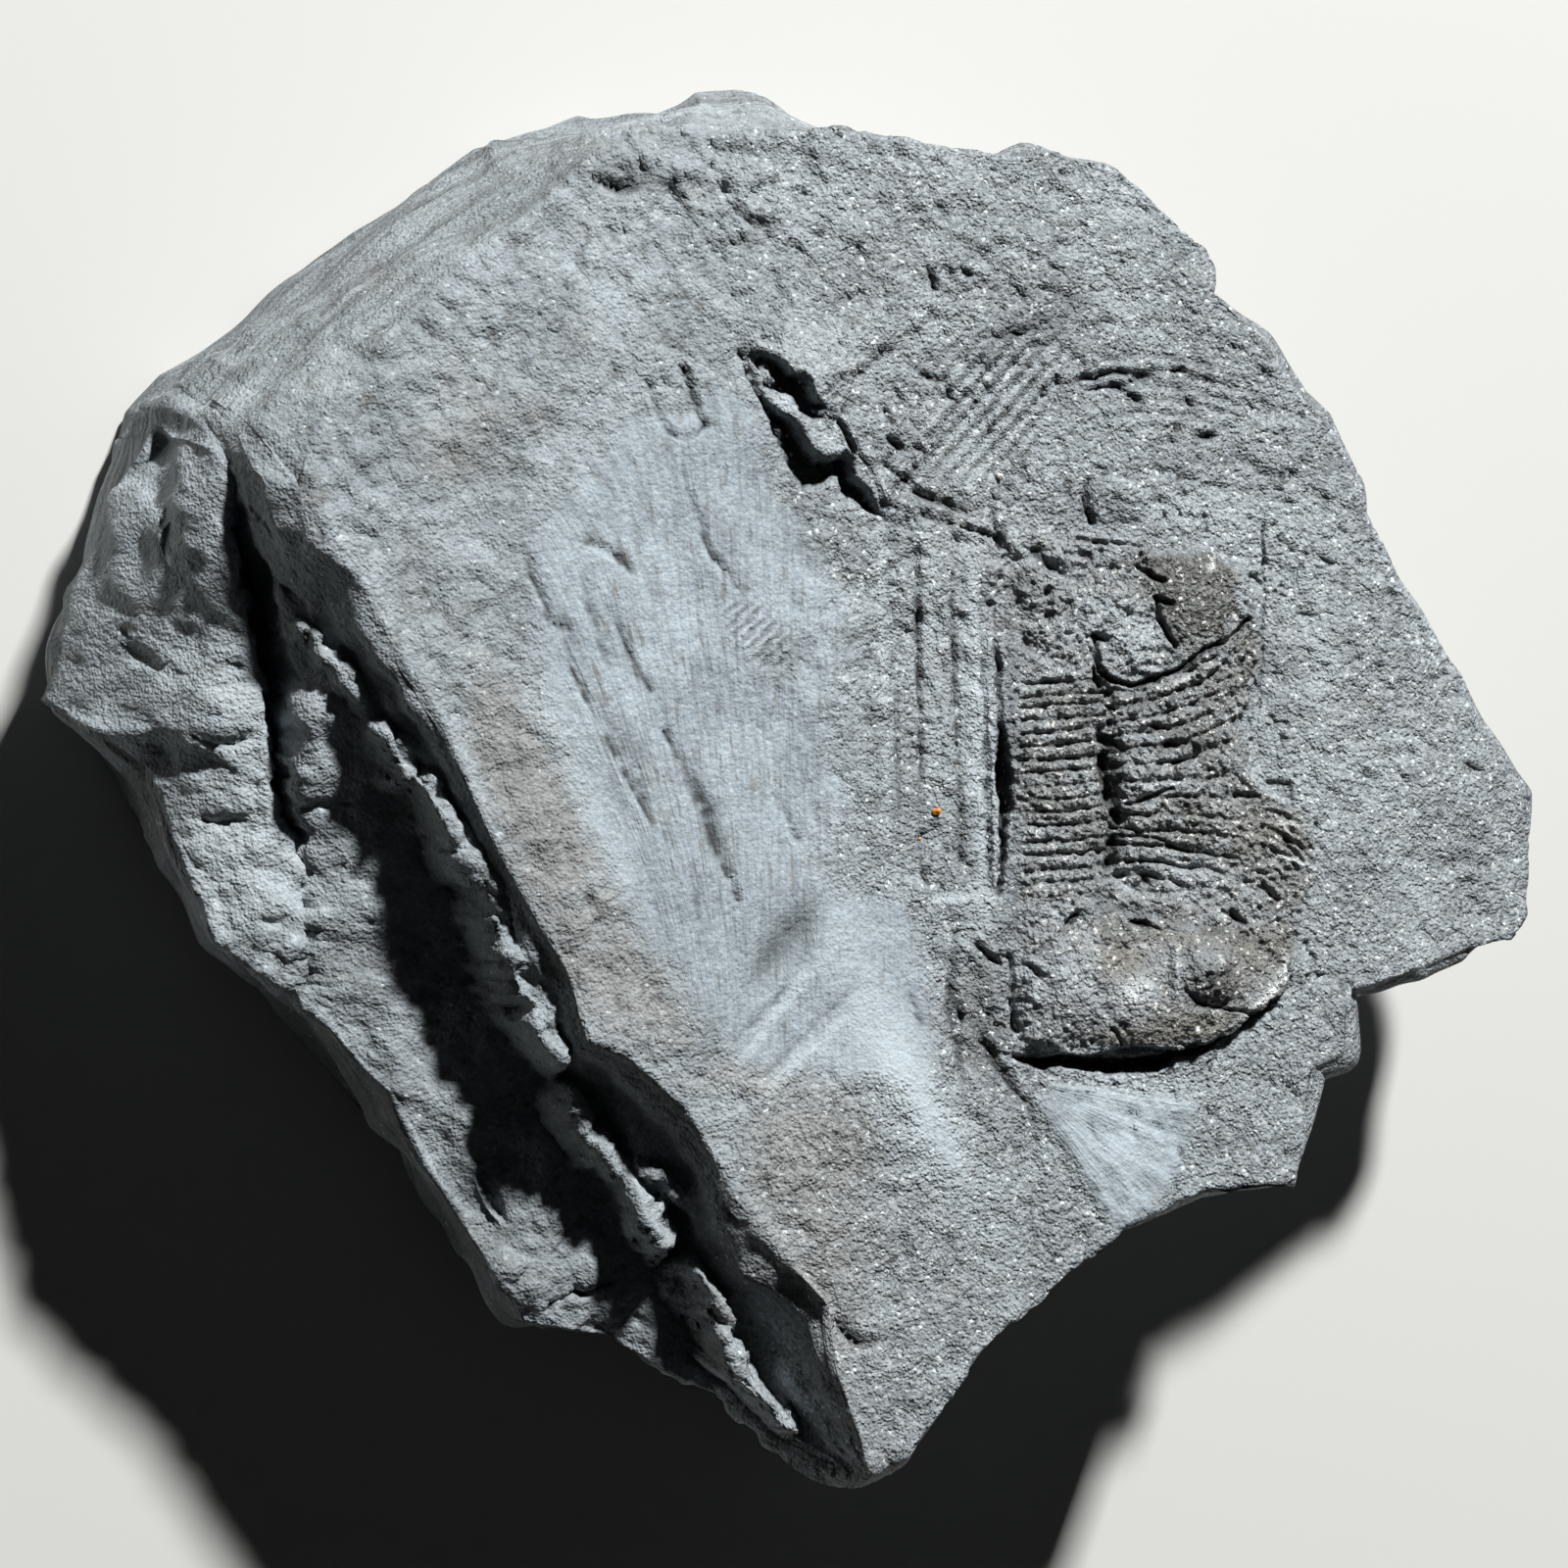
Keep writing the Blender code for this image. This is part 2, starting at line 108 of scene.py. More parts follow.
# %% Lines, grooves, mounds and outlines
def follow(x, y, line):
    """For each point: distance to a polyline, how far along it in corners, and the side (+1 is left)."""
    corners = np.array(line, float)[:, :2]
    nearest = np.full(x.shape, 1e9)
    along = np.zeros(x.shape)
    side = np.ones(x.shape)
    for k, (a, b) in enumerate(zip(corners[:-1], corners[1:])):
        step = b - a
        t = np.clip(((x - a[0]) * step[0] + (y - a[1]) * step[1]) / (step @ step), 0.0, 1.0)
        gap_x, gap_y = x - a[0] - t * step[0], y - a[1] - t * step[1]
        distance = np.hypot(gap_x, gap_y)
        closer = distance < nearest
        nearest = np.where(closer, distance, nearest)
        along = np.where(closer, k + t, along)
        side = np.where(closer, np.sign(step[0] * gap_y - step[1] * gap_x), side)
    return nearest, along, side


def read_line(line, along):
    """The third and fourth numbers of a line's corners, read off `along` corners down the line."""
    return [np.interp(along, np.arange(len(line)), [corner[k] for corner in line]) for k in (2, 3)]


def groove(x, y, line):
    """Depth of a groove along a polyline of (x, y, half width, depth): a V with a rounded mouth."""
    distance, along, _ = follow(x, y, line)
    half, depth = read_line(line, along)
    return depth * smooth(1.0 - distance / half)


def grooves(x, y, lines):
    """The depths of several grooves, added up."""
    return sum(groove(x, y, line) for line in lines)


def turned(x, y, middle, turn):
    """Distances from a middle point, along and across a direction turned by `turn` degrees."""
    angle = np.radians(turn)
    dx, dy = x - middle[0], y - middle[1]
    return dx * np.cos(angle) + dy * np.sin(angle), dy * np.cos(angle) - dx * np.sin(angle)


def mound(x, y, middle, size, height, turn=0.0):
    """A bell-shaped rise with half widths `size`: height * e^-((u / size)^2 + (v / size)^2)."""
    u, v = turned(x, y, middle, turn)
    return height * np.exp(-((u / size[0]) ** 2) - (v / size[1]) ** 2)


def marks(x, y, table):
    """Several mounds, added up: rows of (x, y, two half widths, height) and a turn if there is one."""
    return sum(mound(x, y, row[:2], row[2:4], *row[4:]) for row in table)


def inside(x, y, outline, soft):
    """1 inside a closed outline and 0 outside, eased over a width `soft` on the inner side."""
    ring = np.array(outline, float)
    ahead = np.roll(ring, -1, axis=0)
    odd = np.zeros(x.shape, bool)
    for (ax, ay), (bx, by) in zip(ring, ahead):
        crosses = (ay > y) != (by > y)
        odd ^= crosses & (x < ax + (bx - ax) * (y - ay) / (by - ay + 1e-12))
    distance, _, _ = follow(x, y, np.vstack([ring, ring[:1]]))
    return np.where(odd, smooth(distance / soft), 0.0)


trial = groove(np.zeros(2), np.array([0.0, 0.2]), [(-1, 0, 0.4, 1), (1, 0, 0.4, 1)])
print("a groove 1 mm deep is", *np.round(trial, 2), "mm deep in its middle and halfway up its side")

# %% [markdown]
# ## The plan of the block
#
# Shale splits along its beds, so the upper face is close to one plane. It falls gently to +X and +Y and
# bends down near the thin edge. Round it the block has four sides. One is a deep stepped break: a cliff,
# a lower terrace, and a lobe parted from the terrace by a crack. The others fall at once, steeply at the
# blunt end, and far under themselves at the thin edge.
#
# Each side is a list of sections. A list of points with real sizes is easier to correct than a sculpt,
# because one number moves one feature.

# %% Design sections
# the upper face's plane: its height at a point, its fall per mm of x and of y, and its bend past an x;
# the foot of every side is this far above the ground
FACE_HEIGHT = 29.5
FACE_POINT = (-17.0, -8.0)
FACE_FALL = (0.14, 0.10)
EDGE_BEND_X, EDGE_BEND = 34.0, 0.009
FOOT = 0.8
# ridge (x, y); cliff foot (x, y, z); rim of lobe or terrace (x, y, z); foot on the ground (x, y);
# crack between lobe and terrace (x, y)
STEPPED_SIDE = [
    ((-34, 19), (-36.5, 19.5, 28), (-41.5, 23, 15.6), (-42.5, 23), (-37.8, 20.5)),
    ((-33, 15), (-34.5, 15, 27), (-44.6, 19.4, 14.2), (-43.4, 19.2), (-36.5, 15.6)),
    ((-30.5, 13.5), (-33, 11.5, 26), (-47, 12.6, 12.3), (-44.8, 12.6), (-35.3, 11.2)),
    ((-27.5, 8), (-30.5, 7, 25.6), (-48.75, 5.4, 12), (-46, 5.2), (-34.7, 6.4)),
    ((-26.25, 6), (-29, 4.25, 25.7), (-45.8, 3.5, 17.2), (-44.3, 2.4), (-34.35, 4)),
    ((-25, 4), (-27.5, 1.5, 25), (-42.4, 1.2, 18.4), (-42.6, -0.4), (-34, 1.6)),
    ((-22, -3), (-22.8, -5.2, 23.2), (-40.1, -5.6, 20), (-39.8, -5.4), (-33, -5)),
    ((-19.5, -7.5), (-20.8, -10.3, 23), (-38.2, -10.4, 20.5), (-37, -10.2), (-32.8, -10)),
    ((-17, -12), (-19.5, -14, 23), (-33.4, -13.4, 21.5), (-32.6, -14), (-32.3, -13.4)),
    ((-15.5, -16.5), (-17.5, -18.5, 22.6), (-27, -20.5, 22), (-26.5, -22), (-22.5, -19.5)),
    ((-13, -17.5), (-15.5, -21, 22), (-24.5, -25, 22), (-23, -26), (-20, -23)),
    ((-9, -21), (-12.5, -26, 22), (-20.5, -31.5, 22), (-19, -31.5), (-16.5, -29)),
    ((-6, -26.5), (-8.5, -31, 22), (-18.3, -35.2, 22), (-16, -35), (-13.5, -33.2)),
    ((-2, -31.5), (-6, -34, 22), (-12.5, -36.3, 22), (-10.5, -36.5), (-9.5, -35.3)),
    ((0.2, -34), (-4.3, -37.2, 22.2), (-8.3, -38.8, 22), (-6.5, -38.2), (-6.5, -38)),
    ((0.8, -38), (-3, -40, 23), (-5, -40.3, 22), (-3.5, -40), (-4, -40.2)),
    ((2.5, -43), (-0.5, -43, 25), (-1.8, -43.2, 23.5), (-0.5, -42), (-1.2, -43.1)),
    ((3, -44.8), (2, -45, 28), (1, -44.8, 26.5), (1.5, -42.8), (1.5, -44.9)),
]
# rim (x, y), thickness of the edge there, distance of the foot inside the rim
TIP_TO_CORNER = [
    (3, -44.8, 9, 2.5), (5.5, -44, 9, 3), (6.8, -42.5, 9, 3.5), (10.8, -37.3, 9, 5), (17.2, -32.4, 8, 7),
    (21.4, -29.4, 6, 9), (27.2, -27.1, 4.5, 13), (33.6, -26.8, 3.2, 17), (34.4, -23, 3, 16),
    (35.2, -19, 2.9, 15), (37.4, -18.1, 2.8, 15.5), (37.8, -13.9, 2.6, 14.5), (43, -12.7, 2.6, 18),
    (48, -11.1, 2.5, 21), (51.6, -10.8, 2.4, 23),
]
THIN_EDGE = [
    (51.6, -10.8, 2.4, 23), (52.8, -9, 2.4, 23), (53.2, -3.4, 2.4, 22), (52.8, -0.6, 2.5, 21.5),
    (50.8, 2, 2.6, 20), (46.2, 8.7, 2.8, 18), (44.6, 10.8, 2.8, 17), (40.4, 18.5, 3, 14.5),
    (40.2, 20.8, 3, 14), (37.8, 24.8, 3.2, 12), (36, 26, 3.4, 11), (33.2, 30, 3.6, 9.5),
    (29.6, 33.2, 4, 8), (29.7, 35.2, 4.2, 8.5), (28, 37.2, 4.5, 8),
]
BLUNT_END = [
    (28, 37.2, 4.5, 8), (24.6, 40.1, 5, 7), (22.5, 41.5, 5, 6.5), (17.2, 42.6, 6, 5), (15.4, 42, 6, 4.5),
    (9.4, 42.7, 7, 3), (3, 43.4, 8, 1),
]
# rim (x, y), two points down the slope (x, y, z), foot (x, y)
SLOPED_SHOULDER = [
    ((-1.6, 43.1), (-0.8, 46, 14), (-0.8, 46.8, 9), (0.5, 46)),
    ((-6.4, 42.9), (-5.4, 46.2, 16), (-4.4, 46.6, 9), (-3.4, 45.8)),
    ((-11.1, 43.2), (-9.8, 44.4, 17), (-9, 45, 10), (-8, 45)),
    ((-13.8, 41.5), (-14, 43.6, 14), (-14, 44.6, 8), (-13, 44.9)),
    ((-17.2, 38), (-18.2, 41, 17), (-18.4, 43, 9), (-18, 43.6)),
    ((-22.6, 34), (-24, 36.4, 20), (-24.6, 38, 11), (-24.4, 38.6)),
    ((-28, 29), (-30, 31, 21.5), (-31.4, 32.6, 12), (-32, 33.2)),
    ((-32, 24), (-35.2, 25.6, 24), (-37.6, 27.6, 15), (-39.6, 27.6)),
    ((-34, 19), (-36.6, 23, 24.5), (-38.8, 26, 15), (-40.2, 26.8)),
]
# the head of the stepped side, from the ridge out to the lobe's rim: two points and the foot
STEP_HEAD = [
    ((-36.6, 23, 24.5), (-38.8, 26, 15), (-40.2, 26.8)),
    ((-37.8, 23.2, 22.6), (-39.8, 25.4, 13), (-41, 25.8)),
    ((-39.4, 23.6, 20), (-41, 24.9, 11.5), (-41.6, 25)),
    ((-41.7, 23, 13.5), (-42.2, 23.2, 7), (-42.2, 23)),
]


def face_height(x, y):
    """A plane through FACE_POINT that falls by FACE_FALL, less a square bend past EDGE_BEND_X."""
    plane = FACE_HEIGHT - FACE_FALL[0] * (x - FACE_POINT[0]) - FACE_FALL[1] * (y - FACE_POINT[1])
    return plane - EDGE_BEND * np.maximum(0.0, x - EDGE_BEND_X) ** 2


def on_face(points):
    """Points of the plan lifted to the upper face's plane."""
    xy = np.array(points, float)[:, :2]
    return np.column_stack([xy, face_height(xy[:, 0], xy[:, 1])])


sides = (STEPPED_SIDE, TIP_TO_CORNER, THIN_EDGE, BLUNT_END, SLOPED_SHOULDER, STEP_HEAD)
print("sections:", *[len(sections) for sections in sides])

# %% [markdown]
# ## From sections to a grid
#
# The upper face is a Coons patch: a sheet stretched between four curves, here the ridge, the long edge
# to the thin corner, the thin edge and the blunt end. Its rows run on to the left over the cliff, the
# terrace and the lobe, so crack, ledges and face share one grid and no seam shows. The sides hang from
# the rim of that grid, as rings that run once round the block and close under its base.

# %% Upper grid
# quads along the stepped side and the thin edge, and across the face between them
ALONG, ACROSS = 240, 250
# columns of quads on the lobe, the terrace and the cliff, and the column where the face begins
LOBE, TERRACE, CLIFF = 24, 20, 14
EDGE_COLUMN = LOBE + TERRACE + CLIFF
# the lobe bulges by this share of its fall; the terrace carries a thin broken plate, as two mounds
LOBE_SWELL = 0.3
TERRACE_PLATES = [((-33.6, 5), (1.4, 3), 1.1, -10), ((-32.7, 1.6), (1.5, 5), 1.9, -14)]
# a steep side: how far out its edge's underside stands, in mm, and where its middle lies, as shares of
# the foot's inset and of the underside's height
EDGE_OUT, MIDDLE_IN, MIDDLE_UP = 0.3, 0.45, 0.55


def stations(count):
    """0 to 1 in uneven steps, t + 0.3 sin(2 pi t) / (2 pi): closest in the middle, by the fine detail."""
    t = np.linspace(0.0, 1.0, count + 1)
    return t + 0.3 * np.sin(2.0 * np.pi * t) / (2.0 * np.pi)


def resample(curves, count):
    """Every curve of a side at count + 1 stations along the first one."""
    steps = np.linalg.norm(np.diff(curves[0][:, :2], axis=0), axis=1)
    knots = np.concatenate([[0.0], np.cumsum(steps)])
    at = knots[-1] * stations(count)
    return [np.column_stack([np.interp(at, knots, c[:, k]) for k in range(3)]) for c in curves]


def coons(top, bottom, left, right):
    """A sheet between four edges: both rulings added, less the sheet through the four corners."""
    u = stations(len(top) - 1)[None, :, None]
    v = stations(len(left) - 1)[:, None, None]
    ruled = left[:, None] * (1 - u) + right[:, None] * u + top[None] * (1 - v) + bottom[None] * v
    corners = (top[0] * (1 - u) + top[-1] * u) * (1 - v) + (bottom[0] * (1 - u) + bottom[-1] * u) * v
    return ruled - corners


def steep_side(sections):
    """Rim, underside of the edge, middle and foot of a side that falls at once."""
    data = np.array(sections, float)
    rim = on_face(data)
    inward = -data[:, :2] / np.linalg.norm(data[:, :2], axis=1)[:, None]
    edge, inset = data[:, 2], data[:, 3]
    under = np.column_stack([data[:, :2] - EDGE_OUT * inward, rim[:, 2] - edge])
    middle = data[:, :2] + MIDDLE_IN * inset[:, None] * inward
    middle = np.column_stack([middle, MIDDLE_UP * under[:, 2]])
    foot = np.column_stack([data[:, :2] + inset[:, None] * inward, np.full(len(data), FOOT)])
    return [rim, under, middle, foot]


def slope_side(sections):
    """The curves under the rim, from sections that give them point by point."""
    upper, lower = (np.array([s[k] for s in sections], float) for k in (-3, -2))
    foot = np.array([(*s[-1], FOOT) for s in sections])
    return [upper, lower, foot]


def blend(a, b, t):
    """From a to b by a share t, for every share of an array."""
    return a + (b - a) * np.asarray(t)[..., None]


def step_curves(sections):
    """Ridge, cliff foot, rim, ground and crack; the crack's height is in line from cliff foot to rim."""
    ridge, cliff_foot, rim, ground, crack = [
        np.array([(*s[k][:2], s[k][2] if len(s[k]) > 2 else 0.0) for s in sections]) for k in range(5)
    ]
    ridge = on_face(ridge)
    ground[:, 2] = FOOT
    inner, outer = (np.linalg.norm((crack - end)[:, :2], axis=1) for end in (cliff_foot, rim))
    crack[:, 2] = cliff_foot[:, 2] + inner / (inner + outer) * (rim[:, 2] - cliff_foot[:, 2])
    return [ridge, cliff_foot, rim, ground, crack]


def rows_between(start, end, count):
    """Rows of points from one curve up to, but not on, the next."""
    return blend(start[:, None], end[:, None], np.linspace(0, 1, count + 1)[:-1][None])


ridge, cliff_foot, rim, ground, crack = resample(step_curves(STEPPED_SIDE), ALONG)
long_edge = resample(steep_side(TIP_TO_CORNER), ACROSS)
thin_edge = resample(steep_side(THIN_EDGE), ALONG)
shoulder = [on_face([s[0] for s in SLOPED_SHOULDER]), *slope_side(SLOPED_SHOULDER)]
blunt_end = [np.concatenate(pair) for pair in zip(steep_side(BLUNT_END), shoulder)]
blunt_end = resample(blunt_end, ACROSS)

plan = coons(blunt_end[0][::-1, :2], long_edge[0][:, :2], ridge[:, :2], thin_edge[0][::-1, :2])
face = np.dstack([plan, face_height(plan[..., 0], plan[..., 1])])
lobe_rows = rows_between(rim, crack, LOBE)
arch = np.sin(np.pi * np.linspace(0, 1, LOBE + 1)[:-1])
lobe_rows[..., 2] += LOBE_SWELL * (crack - rim)[:, None, 2] * arch
terrace_rows = rows_between(crack, cliff_foot, TERRACE)
for plate in TERRACE_PLATES:
    terrace_rows[..., 2] += mound(terrace_rows[..., 0], terrace_rows[..., 1], *plate)
upper = np.concatenate([lobe_rows, terrace_rows, rows_between(cliff_foot, ridge, CLIFF), face], axis=1)
print("upper grid", upper.shape, "quads", (upper.shape[0] - 1) * (upper.shape[1] - 1))

# %% [markdown]
# ## The cliff in steps
#
# Where a bed of shale breaks across, it leaves small treads along the bedding with steep risers between.
# A straight ramp from ridge to terrace would look cast. The height along each section is bent into a
# stair instead, and noise shifts the stair from section to section so no tread runs the whole length.
# At its head the cliff is only a rough slope, so the stair comes in over the rows that follow. A few
# broader ledges stand out of the stair; they follow lines of their own.

# %% Cliff
# how far out from the ridge, and how far down there, both as shares of the whole cliff
STAIR_DROP = [(0, 0), (0.06, 0.1), (0.3, 0.18), (0.42, 0.5), (0.6, 0.58), (0.74, 0.9), (1, 1)]
# rows at the head of the side that are a slope, and rows over which the stair comes in
SLOPED_ROWS, COMING_IN = 12.0, 22.0
# how steeply the sides of a ledge fall
LEDGE_SIDES = 4.0
# ledges that stand out of the cliff: (x, y, half width, depth under the upper face's plane)
LEDGES = [
    [(-33.2, 10.2, 0.25, 3.9), (-32.2, 8.3, 0.3, 3.6), (-30.2, 6.2, 0.4, 2.9), (-28.5, 4, 0.5, 2.6),
     (-26.8, 0.3, 0.3, 2.5)],
    [(-25.5, 0.1, 0.5, 1.6), (-23.3, -2.8, 0.6, 1.6), (-20.9, -7.2, 1, 1.7), (-19.7, -11.1, 1.1, 1.9),
     (-18.4, -14.5, 0.9, 2), (-17, -17.4, 0.45, 1.9)],
    [(-15.8, -20.2, 0.3, 4), (-14.6, -22.2, 0.5, 4.2), (-12.6, -25, 0.6, 4.4), (-9.8, -29.6, 0.35, 4.2)],
    [(-7.6, -31.8, 0.2, 3), (-6.2, -35, 0.5, 3.2), (-5, -38.2, 0.45, 3), (-2, -42.2, 0.25, 2.6)],
    [(-11.4, -24.6, 0.25, 3.6), (-9.2, -26.6, 0.25, 3.8)],
]


def stair(share, wander):
    """How far down the cliff a point is, from how far out it is: treads and risers, moved by `wander`."""
    out, down = np.array(STAIR_DROP).T
    moved = np.clip(share + wander * np.sin(np.pi * share), 0.0, 1.0)
    return np.interp(moved, out, down)


def ledge_height(x, y, line):
    """Top of a ledge: the face's plane less a depth, broken by noise, falling four to one at its sides."""
    points = np.stack([x, y], -1)
    ragged_x = x + 0.5 * rough(points, 2.4, 5, 6, 0.66)
    ragged_y = y + 0.5 * rough(points, 2.4, 5, 16, 0.66)
    distance, along, _ = follow(ragged_x, ragged_y, line)
    half, depth = read_line(line, along)
    broken = smooth((noise(points, 2.4, 8) + 0.5 * noise(points, 0.9, 9) - 0.25) / 0.8)
    top = face_height(x, y) - depth - broken + 0.36 * rough(points, 1.6, 4, 7, 0.75)
    return top - LEDGE_SIDES * np.maximum(0.0, distance - half)


cliff_part = slice(LOBE + TERRACE, EDGE_COLUMN + 1)
share_out = np.linspace(1, 0, CLIFF + 1)[None, :]
wander = 0.22 * noise(ridge[:, None, :2] + np.zeros((1, CLIFF + 1, 2)), 5.0, 4)
wander += 0.12 * noise(upper[:, cliff_part, :2], 1.6, 5)
drop = (ridge[:, 2] - cliff_foot[:, 2])[:, None]
stepped = smooth((np.arange(ALONG + 1) - SLOPED_ROWS) / COMING_IN)[:, None]
slope = share_out + 0.3 * wander * (1.0 - share_out)
fall = stair(share_out, wander) * stepped + slope * (1.0 - stepped)
upper[:, cliff_part, 2] = ridge[:, None, 2] - drop * np.maximum(fall, 0.0)
break_part = upper[:, LOBE:EDGE_COLUMN]
for line in LEDGES:
    ledge = ledge_height(break_part[..., 0], break_part[..., 1], line)
    break_part[..., 2] = np.maximum(break_part[..., 2], ledge)
print("cliff, tallest", round(float(drop.max()), 1), "mm, ledges", len(LEDGES))

# %% [markdown]
# ## Relief of the upper face
#
# This face is the story of the piece. A thin upper sheet of the bed has flaked off over the middle, and
# its torn edge stands as a notch. The bared slab below it is polished and scratched: long striae fan
# from top left and run straight down beside the fossil. Elsewhere the face is a dull, grainy fracture
# with a few hollows, faint imprints of other shells, and cracks.
#
# Each feature is a small function of x and y, and the relief is their sum, so each can be tuned alone.
#
# The striae come first. On the real slab they are fine grooves where one sheet slid over another, so
# they run as near-parallel lanes. Noise drawn out along the lanes gives their number and evenness; the
# few deep ones are drawn one by one.

# %% Striae
# single deep scratches: (x, y, half width, depth)
SCRATCHES = [
    [(-17, 10.2, 0.15, 0.1), (-16.2, 7.6, 0.22, 0.45), (-13.9, 2.5, 0.26, 0.5), (-12, -0.8, 0.26, 0.5),
     (-10, -3.8, 0.18, 0.15)],
    [(-19.4, 15.4, 0.2, 0.2), (-19, 14.3, 0.25, 0.4), (-17.5, 10.5, 0.26, 0.5), (-16.4, 10.1, 0.25, 0.5)],
    [(-13.6, 11.6, 0.15, 0.2), (-12.7, 9.7, 0.25, 0.5), (-11.8, 7.2, 0.25, 0.5), (-10.9, 6.1, 0.22, 0.4)],
    [(-15.6, 13, 0.2, 0.3), (-14.6, 10.2, 0.22, 0.3), (-13.6, 7.6, 0.2, 0.15)],
    [(-14.6, 5.6, 0.4, 0.14), (-12.6, 1.6, 0.5, 0.2), (-10.8, -2, 0.4, 0.12)],
    [(-9.9, 3.4, 0.2, 0.35), (-8.6, 0.4, 0.55, 0.32), (-7.3, -1.7, 0.8, 0.4), (-6.9, -3.4, 0.5, 0.5),
     (-5.2, -7.6, 0.2, 0.35)],
    [(-8.3, -5.2, 0.3, 0.12), (-8.1, -7.6, 0.35, 0.2), (-8, -11, 0.25, 0.1)],
    [(-8.4, 20.2, 0.2, 0.15), (-6.5, 14.9, 0.25, 0.45), (-4.8, 12.8, 0.22, 0.35)],
    [(-8.3, 27.2, 0.25, 0.4), (-7, 23.4, 0.25, 0.4)],
    [(-10.6, 26.2, 0.25, 0.5), (-9.8, 23.4, 0.3, 0.4), (-8.5, 22.5, 0.25, 0.35), (-6.4, 23.6, 0.2, 0.3)],
    [(-2.6, -0.6, 0.3, 0.2), (-0.9, -3.6, 0.3, 0.3)], [(-1.2, 2.8, 0.25, 0.1), (0.4, -2.6, 0.25, 0.2)],
    [(7.8, 15.6, 0.2, 0.3), (7.8, 9, 0.25, 0.55), (7.8, 4.2, 0.2, 0.4), (7.5, -5.2, 0.2, 0.25),
     (8, -6.6, 0.2, 0.4)],
    [(5.9, 12, 0.2, 0.1), (6.1, 2, 0.25, 0.25), (6, -6, 0.2, 0.1)],
    [(3.9, 10, 0.2, 0.08), (3.9, 0, 0.25, 0.12), (3.9, -8, 0.2, 0.05)],
    [(10.2, 14, 0.2, 0.3), (10.3, 6, 0.3, 0.4), (10.4, -6, 0.25, 0.3)],
    [(12.2, 13, 0.2, 0.2), (12.2, 2.6, 0.25, 0.25), (12.4, -7.1, 0.2, 0.2)],
    [(-15.2, 15.8, 0.3, 0.3), (-13.2, 14.9, 0.35, 0.55), (-12, 13.8, 0.3, 0.35)],
    [(6.4, -13.4, 0.2, 0.2), (7.3, -15.8, 0.25, 0.35)],
    [(-5.5, -16.6, 0.3, 0.15), (-2.6, -14, 0.35, 0.25), (-0.4, -10.6, 0.3, 0.1)],
    [(-3.8, -19, 0.3, 0.15), (0.6, -15.2, 0.35, 0.2), (3, -13, 0.3, 0.1)],
]
# outlines of the smooth slab and of the coarser ground that the striae cross beside the fossil
SLAB = [
    (-20.5, 16.5), (-12.6, 24.8), (-4.3, 28), (-3.3, 26), (-2.2, 24), (-1.5, 22.6), (-0.7, 20.2),
    (0.6, 17.4), (3.6, 14.5), (6.2, 11.5), (7.4, 8), (7.6, 2), (7.8, -7), (9, -9), (9.6, -19), (12.5, -30),
    (7, -25.5), (4, -20.5), (-5.2, -19.6), (-11, -14.5), (-14, -8.5), (-17, -2), (-19.8, 7),
]
LANES = [
    (-20.5, 17), (-12.6, 25.4), (-4.3, 28.4), (-1, 21), (4, 19), (5, 27), (9, 25), (9.4, 17.4), (13.2, 16),
    (13.3, -8.4), (9.3, -9.2), (9.6, -19), (12.5, -30), (7, -25.5), (4, -20.5), (-5.2, -19.6),
    (-9.5, -14.5), (-12, -8.5), (-15, -2), (-18, 7),
]
# where the slab ends in a low step with a square corner, to the left of the fossil
SLAB_END = [(4, 12), (4, -7.9), (8.8, -7.7), (12.5, -7.3), (12.7, 2), (12.9, 12)]
# how fast a lane leans, in mm of x for each mm of y and each square mm of its start left of 0
LANE_LEAN = 0.0018


def lane(x, y):
    """Which stria a point is on: x at y = 6, on lines that lean more the further left they start.

    The lean depends on the start itself, so it is worked out three times over, each time closer.
    """
    start = x
    for _ in range(3):
        start = x + LANE_LEAN * np.minimum(start, 0.0) ** 2 * (y - 6.0)
    return start


def striae(x, y):
    """Height of the striae: noise across the lanes, drawn out twelve to fifteen times along them."""
    across = lane(x, y)
    narrow = noise(np.stack([across, y / 12.0], -1), 1.1, 11)
    broad = noise(np.stack([across, y / 15.0], -1), 1.9, 12)
    patches = smooth(0.5 + noise(np.stack([across, y / 3.0], -1), 2.6, 13))
    return 0.04 * narrow * patches + 0.12 * broad


def bared(x, y, soft):
    """1 on the polished slab, 0 off it: beside the fossil the polish is lost little by little."""
    lost = smooth((x + 3.5) / 8.5) * smooth((y + 9.0) / 3.0)
    return inside(x, y, SLAB, soft) * (1.0 - 0.8 * lost)


grid_x, grid_y = upper[..., 0], upper[..., 1]
slab = bared(grid_x, grid_y, 3.0)
print("polished slab covers", round(float(slab.mean()) * 100), "% of the grid")

# %% [markdown]
# Next comes what the break tore open. The thin upper sheet ends in a ragged edge that stands up most at
# the notch, with a second broken sheet under it and two dark gaps between. The cracks are open joints;
# most are short, where the sheet lifted. Each is a groove along a few corners with its own half width
# and depth, and the plan under it is shaken by noise so that no crack runs straight.

